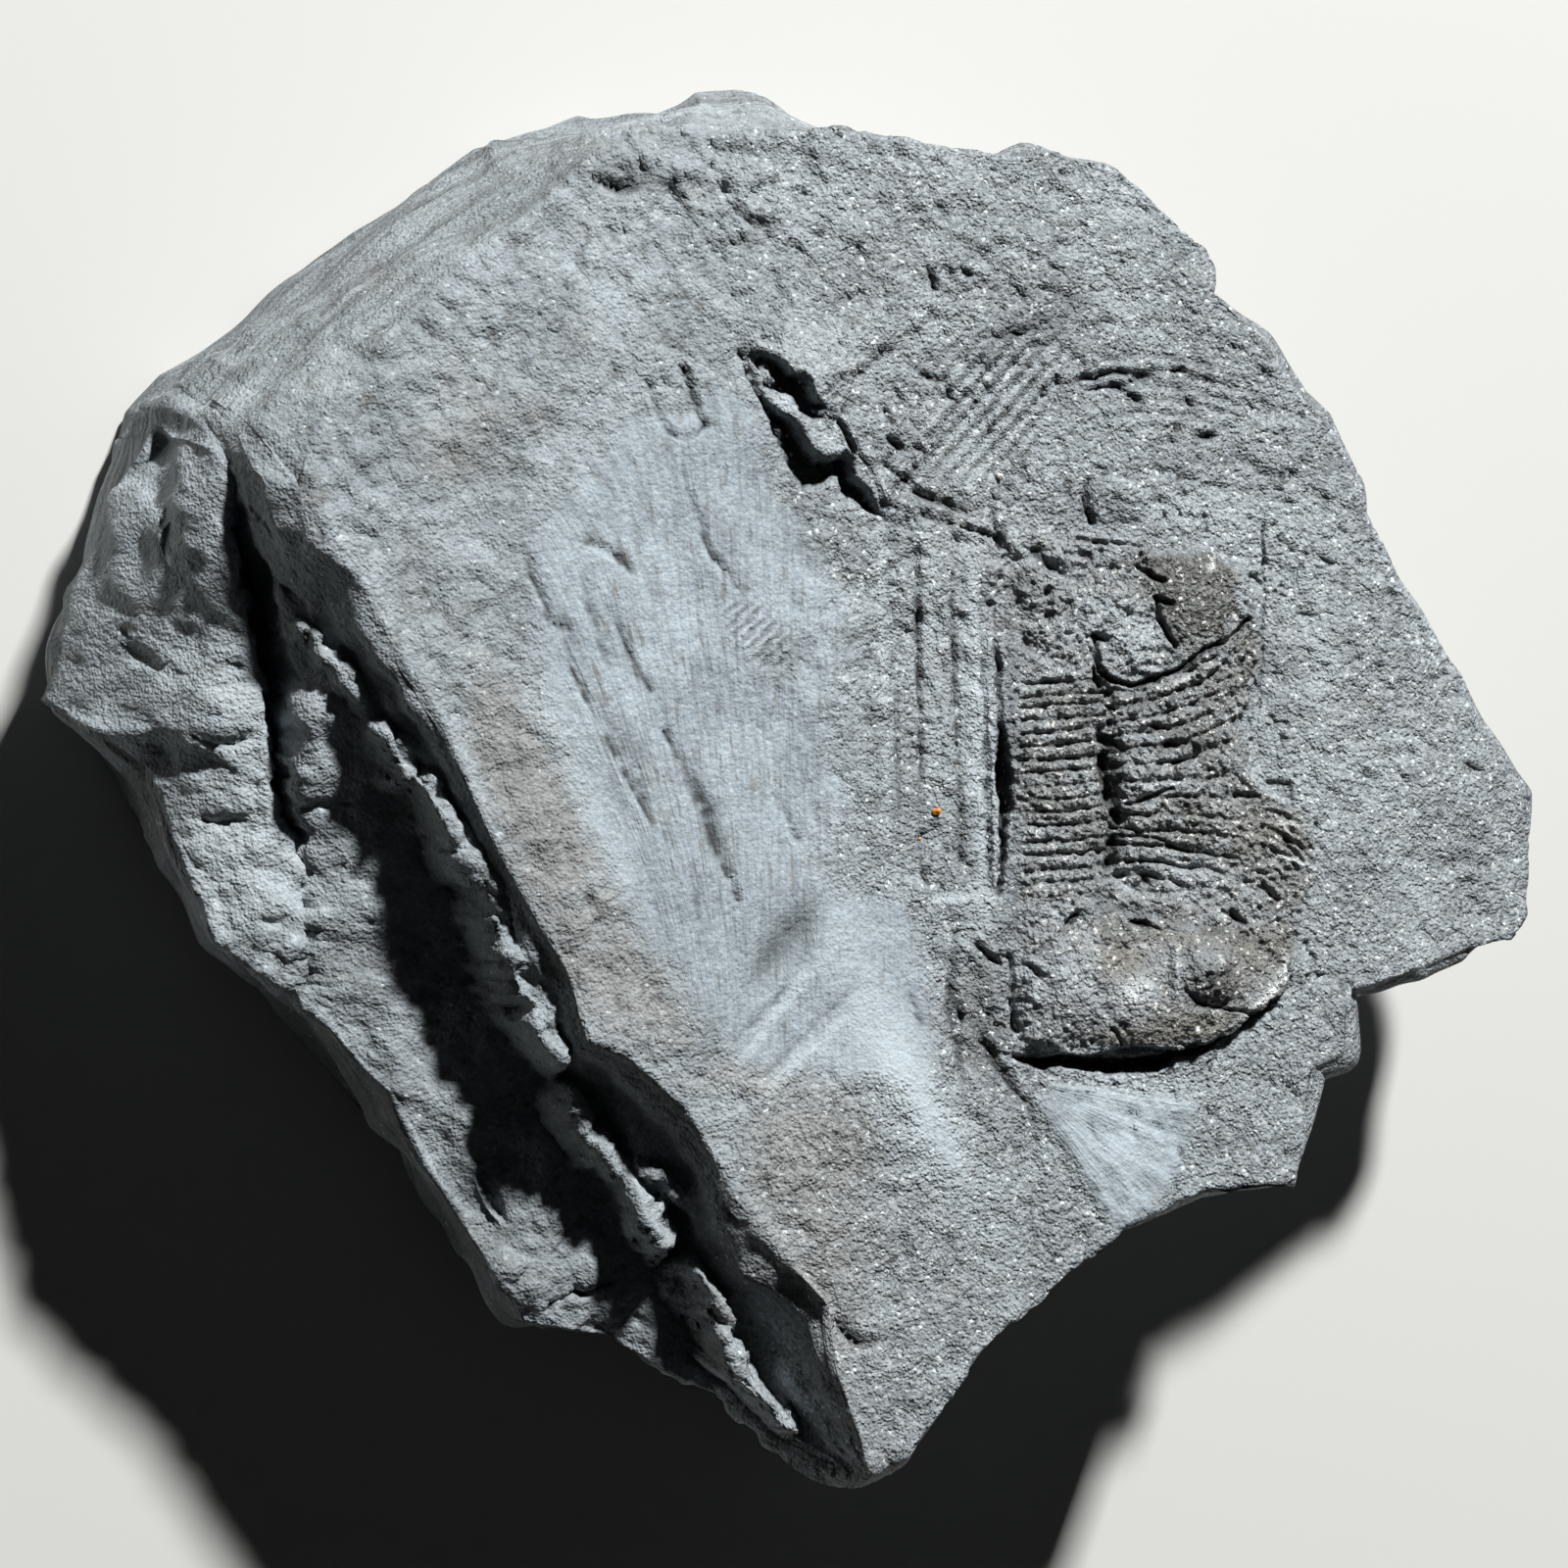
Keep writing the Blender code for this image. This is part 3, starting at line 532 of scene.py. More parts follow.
# %% Torn sheet and cracks
# the torn edge of the upper sheet, and under it the edge of a second, broken sheet:
# (x, y, how high it stands there, how far back the lift dies away)
TORN_EDGE = [
    (-13, 25, 0.1, 3), (-9, 26.8, 0.15, 3), (-4.6, 28.2, 0.3, 4), (-3, 28.3, 1, 6), (-1.6, 27.5, 1.5, 6),
    (-1.1, 26.9, 1.7, 6), (-0.1, 26.7, 1.7, 6), (0.1, 25.7, 1.3, 6), (0.6, 24.9, 0.8, 6),
    (2, 23.8, 0.25, 5), (2.3, 22.9, 0.25, 5), (3.2, 22.1, 0.3, 5), (4.4, 20.9, 0.4, 5),
    (5.4, 18.6, 0.5, 5), (7.8, 17.9, 0.25, 4), (10.5, 17.3, 0.22, 4), (13.6, 16.6, 0.25, 3),
    (14.4, 15.2, 0.2, 3),
]
TORN_TREAD = [
    (-4.2, 28.3, 0.2, 3), (-3.2, 26.3, 0.5, 6), (-3, 25, 0.6, 6), (-2.3, 24.5, 0.9, 6), (-1.2, 24, 1.3, 6),
    (-0.4, 23.2, 1.5, 6), (0, 22.2, 1.5, 6), (0.7, 21.3, 1.4, 6), (3, 21.6, 1.3, 6), (3.2, 20, 1.1, 6),
    (4.1, 19.5, 0.9, 6), (4.6, 18.4, 0.7, 6), (5.3, 17.8, 0.3, 5), (8, 16.8, 0.05, 3),
]
# far corners that close the outline of a torn sheet
BEHIND = [(30, 16), (30, 45), (-13, 45)]
# the two gaps of the notch, in shadow to their floors
VOIDS = [
    [(-2.9, 25), (-2.2, 23.95), (-1.6, 22.95), (-1.15, 21.1), (-0.7, 20.2), (-0.1, 19.3), (1.2, 19.8),
     (2.3, 20.2), (2.6, 19.1), (3.4, 18.8), (4.1, 18), (5.1, 17.8), (4.4, 18.9), (4, 19.5), (3.2, 20),
     (3, 21.6), (0.7, 21.3), (0, 22.2), (-0.8, 23.4), (-1.2, 23.9), (-2.2, 24.4)],
    [(-3.5, 27.7), (-3, 28.3), (-2.5, 28), (-1.6, 27.5), (-1.1, 26.9), (0, 26.7), (0.1, 25.7), (0.5, 25),
     (1.9, 24.8), (0.6, 24.5), (1.8, 24), (0.4, 23.8), (-0.6, 24.4), (-1, 25.4), (-2, 25.8), (-3, 25.8),
     (-2.9, 26.6), (-2, 26.4), (-2.6, 27.6), (-3.2, 26.9)],
]
# (x, y, half width, depth) along each crack
CRACKS = [
    [(-4.2, 27.9, 0.22, 0.4), (-3.3, 26, 0.25, 0.6), (-2.2, 24, 0.25, 0.5), (-1.1, 21.1, 0.2, 0.4),
     (-0.1, 19.3, 0.2, 0.3)],
    [(13.2, 9.4, 0.3, 0.3), (13.3, 7.8, 0.4, 0.7), (13.4, 4.6, 0.35, 0.4), (13.3, 2.2, 0.6, 1.4),
     (13.5, 0.6, 0.75, 2.2), (13.6, -1.6, 0.65, 2), (13.3, -2.9, 0.4, 0.9), (13.3, -5, 0.4, 1),
     (13, -7.4, 0.3, 0.6)],
    [(9.4, 17.2, 0.18, 0.3), (11.4, 17, 0.2, 0.4), (13.4, 16.5, 0.28, 0.7), (13.6, 15.8, 0.25, 0.5)],
    [(13.6, -18, 0.35, 0.4), (15.5, -18.5, 0.65, 1.3), (17.5, -18.4, 0.6, 1.3), (20.7, -18.6, 0.75, 1.6),
     (23.6, -18.6, 0.7, 1.5), (25.6, -17.9, 0.45, 1.1), (27, -17.6, 0.4, 0.8), (29, -16.4, 0.45, 0.6),
     (31.1, -15.4, 0.45, 0.5), (33.7, -13.1, 0.3, 0.3)],
    [(13.3, 17.9, 0.25, 0.3), (13.8, 16, 0.35, 0.7)], [(7.8, 19.4, 0.4, 0.5), (10.2, 18.4, 0.4, 0.5)],
    [(8.1, 27.3, 0.35, 0.4), (8.8, 27, 0.45, 0.8), (9.8, 27, 0.3, 0.4)],
    [(10, 26.8, 0.25, 0.3), (10.4, 25.4, 0.3, 0.5)], [(8.8, 34.2, 0.35, 0.7), (9.5, 33.1, 0.4, 1)],
    [(11.4, 34.2, 0.3, 0.7), (12, 33.9, 0.35, 0.6)],
    [(-14.2, 39.6, 0.4, 0.4), (-12.4, 38.9, 0.6, 0.9), (-10.8, 39.2, 0.4, 0.4)],
    [(-3.2, 29.3, 0.3, 0.5), (-1.9, 29.1, 0.3, 0.3)], [(-3, 28.9, 0.2, 0.4), (-3.9, 28.3, 0.25, 0.4)],
    [(0.6, 24.8, 0.2, 0.7), (2.4, 24.5, 0.2, 0.6)], [(2, 23.9, 0.25, 0.9), (3.3, 22.1, 0.35, 0.8)],
    [(2.3, 24.6, 0.25, 0.3), (3.4, 26, 0.2, 0.1)], [(2.8, 28.4, 0.3, 0.4), (5.8, 28.6, 0.3, 0.5)],
    [(1.5, 28.8, 0.3, 0.2), (5.9, 29.8, 0.3, 0.2)], [(5.6, 24.6, 0.3, 0.6), (6.1, 23.9, 0.3, 0.6)],
    [(5.7, 22.8, 0.35, 0.7), (6.5, 22.4, 0.4, 0.9)], [(5.6, 20.9, 0.25, 0.5), (7.2, 20.1, 0.3, 0.5)],
    [(6.3, 26.2, 0.3, 0.3), (6.9, 25.3, 0.3, 0.4)], [(7.9, 22.3, 0.3, 0.5), (8.4, 22.1, 0.3, 0.5)],
    [(12.6, 29.6, 0.3, 0.3), (15.4, 30.3, 0.35, 0.5), (18.6, 31.4, 0.3, 0.4)],
    [(19.4, 30.3, 0.3, 0.3), (21.6, 31.1, 0.35, 0.5)], [(16.4, 29.4, 0.4, 0.5), (17.4, 29.5, 0.3, 0.4)],
    [(18.2, 26.7, 0.3, 0.3), (20.4, 27.3, 0.4, 0.6), (22.4, 27.8, 0.35, 0.6), (25, 27.4, 0.3, 0.4)],
    [(19.4, 26.6, 0.3, 0.3), (22.4, 26.8, 0.3, 0.5), (24, 25.8, 0.3, 0.6)],
    [(23.2, 27.2, 0.3, 0.8), (24.4, 27.2, 0.3, 0.7)], [(26.7, 27.9, 0.3, 0.8), (27.4, 27.9, 0.3, 0.6)],
    [(27.5, 26.2, 0.25, 0.7), (27.6, 25.5, 0.25, 0.6)], [(28, 23.6, 0.3, 0.4), (29.4, 23.5, 0.35, 0.8)],
    [(26.5, 24.2, 0.3, 0.5), (26.6, 23.8, 0.3, 0.5)],
    [(20, 20.4, 0.25, 0.5), (19.9, 19, 0.35, 0.9), (20.3, 17.6, 0.3, 0.8)],
    [(20.2, 20.4, 0.25, 0.3), (21.6, 21, 0.25, 0.3), (23.4, 20.4, 0.25, 0.2)],
    [(21, 19.4, 0.25, 0.3), (23.6, 18.8, 0.3, 0.4)],
    [(0.6, -34.6, 0.4, 0.4), (2.4, -36.4, 0.5, 0.7), (5.4, -36, 0.3, 0.3)],
    [(32.7, 23.4, 0.25, 0.1), (32.9, 16, 0.22, 0.35), (32.7, 10.4, 0.22, 0.35), (32, 3, 0.2, 0.2)],
    [(9.9, -9.8, 0.35, 0.4), (9.4, -14.8, 0.5, 0.6), (10.2, -19.6, 0.4, 0.4)],
    [(9.8, -13.4, 0.5, 0.6), (10.3, -15.6, 0.5, 0.7)],
    [(11.9, -17, 0.5, 0.7), (13.2, -19.6, 0.4, 0.6), (14.8, -21.2, 0.45, 0.5), (15.4, -23.8, 0.35, 0.3)],
    [(11.3, -10.6, 0.35, 0.6), (12.6, -11.6, 0.4, 0.6)], [(13.6, -11.4, 0.3, 0.4), (14, -16.4, 0.4, 0.6)],
]


def torn(x, y, line):
    """A sheet that stands up beyond a torn edge: its lift there, dying away with distance behind it."""
    ragged_x, ragged_y = shaken(x, y, 0.1, 41)
    distance, along, _ = follow(ragged_x, ragged_y, line)
    lift, reach = read_line(line, along)
    beyond = [corner[:2] for corner in line] + BEHIND
    return lift * inside(ragged_x, ragged_y, beyond, 0.18) * np.exp(-distance / reach)


def voids(x, y):
    """1 in the gaps of the notch and 0 outside."""
    ragged_x, ragged_y = shaken(x, y, 0.06, 42)
    return sum(inside(ragged_x, ragged_y, outline, 0.2) for outline in VOIDS)


sheet_lift = torn(grid_x, grid_y, TORN_EDGE) + torn(grid_x, grid_y, TORN_TREAD)
print("torn sheet stands", round(float(sheet_lift.max()), 1), "mm high, cracks", len(CRACKS))

# %% [markdown]
# The rest of the face is made of broad swells, coarser patches where the silt broke out grain by grain,
# and faint imprints of other shells. An imprint is a patch of fine ribs that fades out at its rim, and
# the raised fan at the lower right is a set of lines that spread from one point.

# %% Swells, hollows and imprints
# (x, y, two half widths, height, turn)
SWELLS = [
    (5.5, -19, 9, 2.4, 0.45, -62), (-1.6, -10.2, 3.2, 1.2, -0.75, 52), (10.4, -1.5, 2.2, 7, 0.25),
    (11.8, -15.6, 1.6, 3.6, -0.55), (-29.8, 27, 0.9, 0.5, -0.6), (-20, 24, 6, 2.2, 0.35, 30),
    (-24.5, 15, 4, 2.5, 0.35, -60), (-8.3, 24.2, 1, 0.6, -0.3, 10), (17.5, 14.2, 2, 0.9, -0.7, -25),
    (22, 19.4, 2.1, 1.2, 0.35, -15), (-9.6, 41, 3, 1.2, 0.5), (-16, 34, 6, 3, -0.3, 20),
    (14, -31, 7, 2.6, -0.25, 20), (42, 0, 6, 9, 0.2),
]
OVAL = [(19.6, 18.2), (20.3, 20.4), (22.9, 21), (24.6, 19.5), (23.9, 17.7), (21.5, 17)]
# places where the fracture is coarser: (x, y, two half widths, how much, turn)
COARSE = [
    (11.6, -15, 2.2, 6.5, 1), (15.4, 13.6, 4.2, 3.2, 1), (7.5, 22, 4, 5, 0.6), (-1.8, 8, 2.6, 1.8, 0.5),
    (11, 36, 12, 4, 0.5, -5), (6, 8, 4, 8, 0.25), (22, 28, 8, 4, 0.4), (-2, -34, 5, 9, 0.5, 30),
    (-25, 28, 8, 5, 0.9, 42), (-6, 39.5, 7, 3.5, 1.1), (-30, 19, 3, 4, 0.9),
]
# imprints: (middle, half widths, turn, pitch of the ribs, how far they bow, height)
IMPRINTS = [
    ((13.4, 25.6), (7, 4.2), 46, 0.95, 0, 0.26), ((25, 26.4), (6.5, 3), 0, 0.95, 0.03, 0.12),
    ((-3.6, 9.8), (1.5, 2.9), 45, 0.68, 0, 0.24),
]
FAN_POINT = (14.4, -19.6)


def imprint(x, y, middle, size, turn, pitch, bow, height):
    """A patch of fine parallel ribs, `pitch` apart, on lines turned by `turn` and bowed by `bow`."""
    u, v = turned(x, y, middle, turn)
    v = v + bow * u * u
    fade = smooth(1.4 - np.hypot(u / size[0], v / size[1]))
    return height * fade * np.cos(2.0 * np.pi * v / pitch)


def fan_ribs(x, y):
    """Fine lines over a smooth raised fan, which reaches 13 mm from its point, from -62 to -4 degrees."""
    dx, dy = x - FAN_POINT[0], y - FAN_POINT[1]
    turn = np.degrees(np.arctan2(dy, dx))
    reach = np.hypot(dx, dy)
    fan = smooth((turn + 62.0) / 8.0) * smooth((-4.0 - turn) / 6.0)
    fan = fan * smooth((reach - 1.0) / 2.0) * smooth((13.0 - reach) / 1.2)
    ribs = noise(np.stack([turn / 3.6, reach / 9.0], -1), 1.0, 21)
    return fan, fan * (0.3 + 0.07 * ribs)


def upper_relief(x, y):
    """All of the upper face's relief, added up, in millimetres above its plane."""
    points = np.stack([x, y], -1)
    smoothed = bared(x, y, 2.0)
    dull = 1.0 - 0.8 * smoothed
    height = 0.34 * rough(points, 8.0, 2, 31) + dull * 0.17 * rough(points, 1.8, 3, 32, 0.65)
    height += 0.34 * marks(x, y, COARSE) * rough(points, 1.3, 3, 35, 0.75)
    flakes = noise(points, 1.0, 33) + 0.6 * noise(points, 0.5, 34)
    height -= 0.26 * dull * smooth((flakes - 0.55) / 0.2)
    height += inside(x, y, LANES, 2.0) * striae(x, y)
    height += torn(x, y, TORN_EDGE) + torn(x, y, TORN_TREAD) - 0.7 * voids(x, y)
    ragged_x, ragged_y = shaken(x, y, 0.14, 43)
    height -= grooves(ragged_x, ragged_y, CRACKS)
    height -= grooves(*shaken(x, y, 0.05, 44), SCRATCHES)
    height += marks(x, y, SWELLS)
    for row in IMPRINTS:
        height += imprint(x, y, *row)
    ending = 0.2 + 2.6 * smooth(np.maximum((8.8 - x) / 2.0, (y - 2.0) / 4.0))
    height -= 0.42 * inside(ragged_x, ragged_y, SLAB_END, ending)
    height += 0.25 * inside(ragged_x, ragged_y, OVAL, 0.7)
    return height + fan_ribs(x, y)[1]


print("relief from", *np.round(np.percentile(upper_relief(grid_x, grid_y), [0.1, 50, 99.9]), 2), "mm")

# %% [markdown]
# ## The pocket and the crack on the lobe
#
# The fossil is a piece of its own, since it is another material and needs a finer grid than the block.
# Its piece also takes in a margin of the stone round it, with the same relief, so the two surfaces run
# into each other and no seam is drawn round the fossil. The block is sunk under it. On the stepped side,
# a crack parts the lobe from the terrace. It is a wide cleft at its head and closes to a hairline.

# %% Pocket and cleft
# rows of the fine piece from tail to head: (y, left, right)
MARGIN = [
    (18.8, 18.6, 32.6), (18, 16.2, 34), (16, 13.2, 34.8), (13, 12.3, 35), (4, 12.2, 34.6), (0, 12.2, 36.4),
    (-3, 12.2, 38), (-8, 12.2, 38), (-12, 12.2, 36.8), (-15, 12.3, 35.4), (-18, 12.6, 32), (-20, 14.2, 27),
    (-20.6, 16, 25),
]
FOSSIL_MIDDLE = np.array([24.0, -1.0])
POCKET_SIZE, POCKET_DEPTH = 0.94, 3.4
# the cleft between lobe and terrace, and lesser cracks of the stepped side: (x, y, half width, depth)
CLEFT = [
    (-37.8, 20.2, 0.3, 0.1), (-37.4, 18.6, 0.7, 1.8), (-36.9, 15.6, 1.2, 5), (-35.9, 13.2, 1.4, 6),
    (-35.3, 10.8, 1.2, 6), (-34.6, 4.5, 0.8, 5.5), (-33.9, -1.4, 0.55, 4.5), (-33.1, -3.3, 0.45, 2.5),
    (-32.8, -8, 0.45, 1.8), (-32.4, -13.2, 0.45, 1.8),
]
SIDE_CRACKS = [
    [(-42.6, 20.6, 0.6, 0.5), (-42.2, 18.9, 0.9, 1.1), (-41.6, 16.4, 0.6, 1.2), (-41.8, 14.2, 0.4, 0.6)],
    [(-39.8, 3.6, 0.3, 0.5), (-38.2, 2.8, 0.4, 0.8), (-36.4, 3.1, 0.35, 0.7), (-35.4, 4.4, 0.3, 0.6)],
    [(-44.6, 10.6, 0.4, 0.5), (-43.4, 8.6, 0.6, 0.9), (-41.4, 7, 0.35, 0.6), (-39.6, 8.6, 0.3, 0.4)],
    [(-33.2, -1.3, 0.3, 0.7), (-31.4, -1.5, 0.35, 0.7), (-29.8, -1.3, 0.3, 0.5)],
    [(-36.2, 17.6, 0.3, 0.6), (-34.6, 16.2, 0.35, 0.8), (-33.6, 16.4, 0.3, 0.5)],
    [(-35, 13.6, 0.25, 0.5), (-33.6, 12.4, 0.35, 0.8), (-32.4, 12.6, 0.3, 0.5)],
    [(-39.4, -2, 0.4, 0.4), (-37.6, -2.8, 0.5, 0.7), (-36, -2.2, 0.4, 0.4)],
    [(-20.8, -25.8, 0.5, 0.8), (-19.6, -28.2, 0.5, 1)], [(-14.6, -33.2, 0.5, 1.4), (-12.2, -32.6, 0.4, 1)],
    [(-16.6, -34.4, 0.4, 1), (-14, -33, 0.4, 1.2)],
]


def about(points, middle, share):
    """Points of the plan drawn in towards a middle point, or spread from it, by a share."""
    return (points - middle) * share + middle


pocket_outline = [(left, y) for y, left, _ in MARGIN] + [(right, y) for y, _, right in MARGIN[::-1]]
pocket_outline = about(np.array(pocket_outline), FOSSIL_MIDDLE, POCKET_SIZE)
shown = slice(EDGE_COLUMN, None)
face_fade = smooth(np.arange(grid_x.shape[1] - EDGE_COLUMN) / 3.0)[None, :]
face_x, face_y = grid_x[:, shown], grid_y[:, shown]
pocket = inside(face_x, face_y, pocket_outline, 0.6)
upper[:, shown, 2] += upper_relief(face_x, face_y) * face_fade - POCKET_DEPTH * pocket

lower_part = slice(0, LOBE + TERRACE)
lower_x, lower_y = shaken(grid_x[:, lower_part], grid_y[:, lower_part], 0.3, 45)
upper[:, lower_part, 2] -= grooves(lower_x, lower_y, [CLEFT, *SIDE_CRACKS])
lower = np.stack([lower_x, lower_y], -1)
torn_out = smooth((noise(lower, 3.4, 46) + 0.7 * noise(lower, 1.1, 47) - 0.35) / 0.5)
upper[:, lower_part, 2] += 0.35 * rough(lower, 3.0, 4, 48, 0.55) - 0.15 * torn_out
print("cleft, deepest", round(float(groove(grid_x, grid_y, CLEFT).max()), 1), "mm")

# %% [markdown]
# ## Sides and base
#
# The sides hang from the rim of the upper grid. Each section is a smooth curve through rim, upper,
# lower and foot points (Catmull-Rom), which rounds the worn shoulder and still lets the thin edge stay
# thin. Under the foot the rings turn in to the flat base and meet in one point in the middle.

# %% Sides
# rows of quads down a side, and how the rows crowd towards the rim (a power of the share of the way)
DOWN, CROWDING = 20, 1.25
# where the lip and the belly of the stepped side lie, as shares of the way from rim to ground
LIP, BELLY = 0.12, 0.5
# rows under the foot, each as a share of the foot's plan and height; the rest is one point in the middle
UNDERSIDE = [(0.994, 0.994, 0.3), (0.975, 0.975, 0), (0.6, 0.6, 0)]


def catmull(points, t):
    """A smooth curve through four points: each span leaves its ends along the chord of its neighbours."""
    p = np.concatenate([[2 * points[0] - points[1]], points, [2 * points[-1] - points[-2]]])
    where = np.clip(t * 3.0, 0.0, 2.999999)
    k = int(where)
    s = where - k
    a, b, c, d = p[k : k + 4]
    squared, cubed = 2 * a - 5 * b + 4 * c - d, 3 * b - a - 3 * c + d
    return 0.5 * (2 * b + (c - a) * s + squared * s**2 + cubed * s**3)


def grid_quads(index):
    """Quads between neighbours in a grid of point numbers, all wound the same way."""
    return np.stack([index[:-1, :-1], index[1:, :-1], index[1:, 1:], index[:-1, 1:]], -1).reshape(-1, 4)


def border_of(index):
    """The point numbers once round the edge of a grid."""
    return np.concatenate([index[:-1, 0], index[-1, :-1], index[:0:-1, -1], index[0, :0:-1]])


def wall_quads(ring, below):
    """Quads that hang between a ring of points and the ring under it."""
    return np.stack([ring, np.roll(ring, -1), np.roll(below, -1), below], -1)[:, ::-1]


def closing_fan(ring, hub):
    """Triangles from a ring of points to the one point that closes it."""
    return np.stack([np.roll(ring, -1), ring, np.full(len(ring), hub)], -1)


def between(table, count):
    """Rows of a short table spread over count + 1 stations."""
    at = np.linspace(0, len(table[0]) - 1, count + 1)
    return [np.column_stack([np.interp(at, np.arange(len(c)), c[:, k]) for k in range(3)]) for c in table]


left_side = [*[blend(rim, ground, share * np.ones(len(rim))) for share in (LIP, BELLY)], ground]
tip_side = between([np.stack([a[-1], b[0]]) for a, b in zip(left_side, long_edge[1:])], EDGE_COLUMN)
head_side = between(slope_side(STEP_HEAD), EDGE_COLUMN)
side_parts = [left_side, tip_side, long_edge[1:], thin_edge[1:], blunt_end[1:], head_side]
hanging = [np.concatenate([part[k][:-1] for part in side_parts]) for k in range(3)]

number = np.arange(upper.shape[0] * upper.shape[1]).reshape(upper.shape[:2])
loop = border_of(number)
controls = np.stack([upper.reshape(-1, 3)[loop], *hanging])
rows = [catmull(controls, t**CROWDING) for t in np.linspace(0, 1, DOWN + 1)[1:]]
rows += [rows[-1] * shares for shares in UNDERSIDE]

stack = np.concatenate([upper.reshape(-1, 3), *rows, [[0.0, 0.0, 0.0]]])
top_count = number.size
rings = [loop, *[np.arange(len(loop)) + top_count + k * len(loop) for k in range(len(rows))]]
quads = np.concatenate([grid_quads(number), *[wall_quads(*pair) for pair in zip(rings[:-1], rings[1:])]])
pole = closing_fan(rings[-1], len(stack) - 1)
print("ring of", len(loop), "stations,", len(rows), "rows, points", len(stack))

# %% [markdown]
# ## Roughness of the fracture
#
# Now every point of the closed block exists. Each is moved along the surface's own normal, and the breaks
# move more than the worn or polished faces. Three things are added up. Noise gives the grain of the
# fracture. On the hanging sides, beds about 3 mm thick stand out or in, as layers of shale do where they
# are cut across. Lower down, broad facets with sharp crests show the joints that the rock broke along.
# The finest laminae are left to the material, which needs no points for them.

# %% Fracture
# how far the roughness may move a point, in mm: by column of the upper grid, and by row down the sides
COLUMN_MOVE = [
    (0, 0.7), (LOBE, 0.6), (LOBE + TERRACE, 0.5), (EDGE_COLUMN - 2, 0.4), (EDGE_COLUMN + 4, 0.0),
]
ROW_MOVE = [(0, 0.25), (3, 0.7), (DOWN - 2, 0.7), (DOWN, 0.2), (DOWN + 1, 0.0)]
# the shoulder is worn smoother; the outer corner of the stepped side is broken rougher, without beds
WORN_POINT, WORN_REACH = (-27.0, 34.0), 14.0
CORNER_POINT, CORNER_SIZE = (-38.5, 23.5), (4.5, 4.0)
BED = 3.0


def normals_of(points, quads):
    """Unit normal at each point: the cross products of the quads' diagonals, added up and scaled."""
    a, b, c, d = points[quads.T]
    cross = np.cross(c - a, d - b)
    total = np.zeros_like(points)
    for corner in quads.T:
        np.add.at(total, corner, cross)
    return total / np.maximum(np.linalg.norm(total, axis=1), 1e-9)[:, None]


def beds(points):
    """Beds that stand out or in: a chance value for each bed, which drifts along it."""
    level = (points[:, 2] + 0.9 * noise(points, 7.0, 54)) / BED
    eased = np.floor(level) + smooth((level - np.floor(level) - 0.6) / 0.4)
    return noise(np.column_stack([points[:, :2] / 9.0, 1.7 * eased]), 1.0, 55)


amount = np.zeros(len(stack))
column = np.tile(np.arange(upper.shape[1]), upper.shape[0])
side_level = np.repeat(np.arange(len(rows)), len(loop))
amount[:top_count] = np.interp(column, *np.array(COLUMN_MOVE).T)
amount[top_count:-1] = np.interp(side_level, *np.array(ROW_MOVE).T)
away = np.hypot(stack[:, 0] - WORN_POINT[0], stack[:, 1] - WORN_POINT[1])
amount = amount * (1.0 - 0.2 * smooth((WORN_REACH - away) / 6.0))
corner = mound(stack[:, 0], stack[:, 1], CORNER_POINT, CORNER_SIZE, 1.0)
amount += 0.2 * corner * (stack[:, 2] > 2.0)

normals = normals_of(stack, quads)
steepness = 1.0 - np.abs(normals[:, 2])
hangs = np.arange(len(stack)) >= top_count
fracture = np.where(hangs, 1.1 * rough(stack, 9.0, 3, 51, 0.55), rough(stack, 5.5, 5, 51, 0.55))
# facets: 1 less the size of a noise has its crest where the noise is 0, so crests are sharp
deep_down = np.concatenate([np.zeros(top_count), smooth((side_level - 4.0) / 6.0), [0.0]])
facets = deep_down * (0.7 - 2.2 * np.abs(noise(stack * (1.0, 1.0, 1.5), 9.0, 57)))
bedded = 1.1 * steepness * hangs * (1.0 - corner) * beds(stack)
stack += normals * (amount * (fracture + facets + bedded))[:, None]
# small chips along the rim, and nothing under the ground
chipped = 0.3 * rough(stack[loop][:, :2], 1.8, 3, 53)
stack[loop, :2] += chipped[:, None] * normals[loop][:, :2]
stack[:, 2] = np.maximum(stack[:, 2], 0.0)
print("moved by up to", round(float(amount.max()), 2), "mm for each unit of roughness, triangles",
      2 * len(quads) + len(pole))

# %% [markdown]
# ## Pieces and what is painted on them
#
# A piece is a mesh with one number per point for each thing its material must know, such as how smooth
# the stone is there. The numbers ride on the points themselves, so nothing has to be wrapped round a
# broken stone, and the same functions that shape the relief also colour it.

# %% Piece tools
def make_piece(name, points, faces):
    """A mesh object from points in millimetres, at the origin and in metres, with smooth shading."""
    mesh = bpy.data.meshes.new(name)
    placed = (points - (*MIDDLE, 0.0)) * MM
    mesh.from_pydata(placed.tolist(), [], faces)
    mesh.shade_smooth()
    mesh.update()
    made = bpy.data.objects.new(name, mesh)
    bpy.context.scene.collection.objects.link(made)
    return made


def paint(piece, name, values):
    """Stores one number for each point, which a material can read by name."""
    layer = piece.data.attributes.new(name, "FLOAT", "POINT")
    layer.data.foreach_set("value", np.asarray(values, np.float32).ravel())


print("a piece stands in metres, with plan point", *MIDDLE, "mm over the origin")
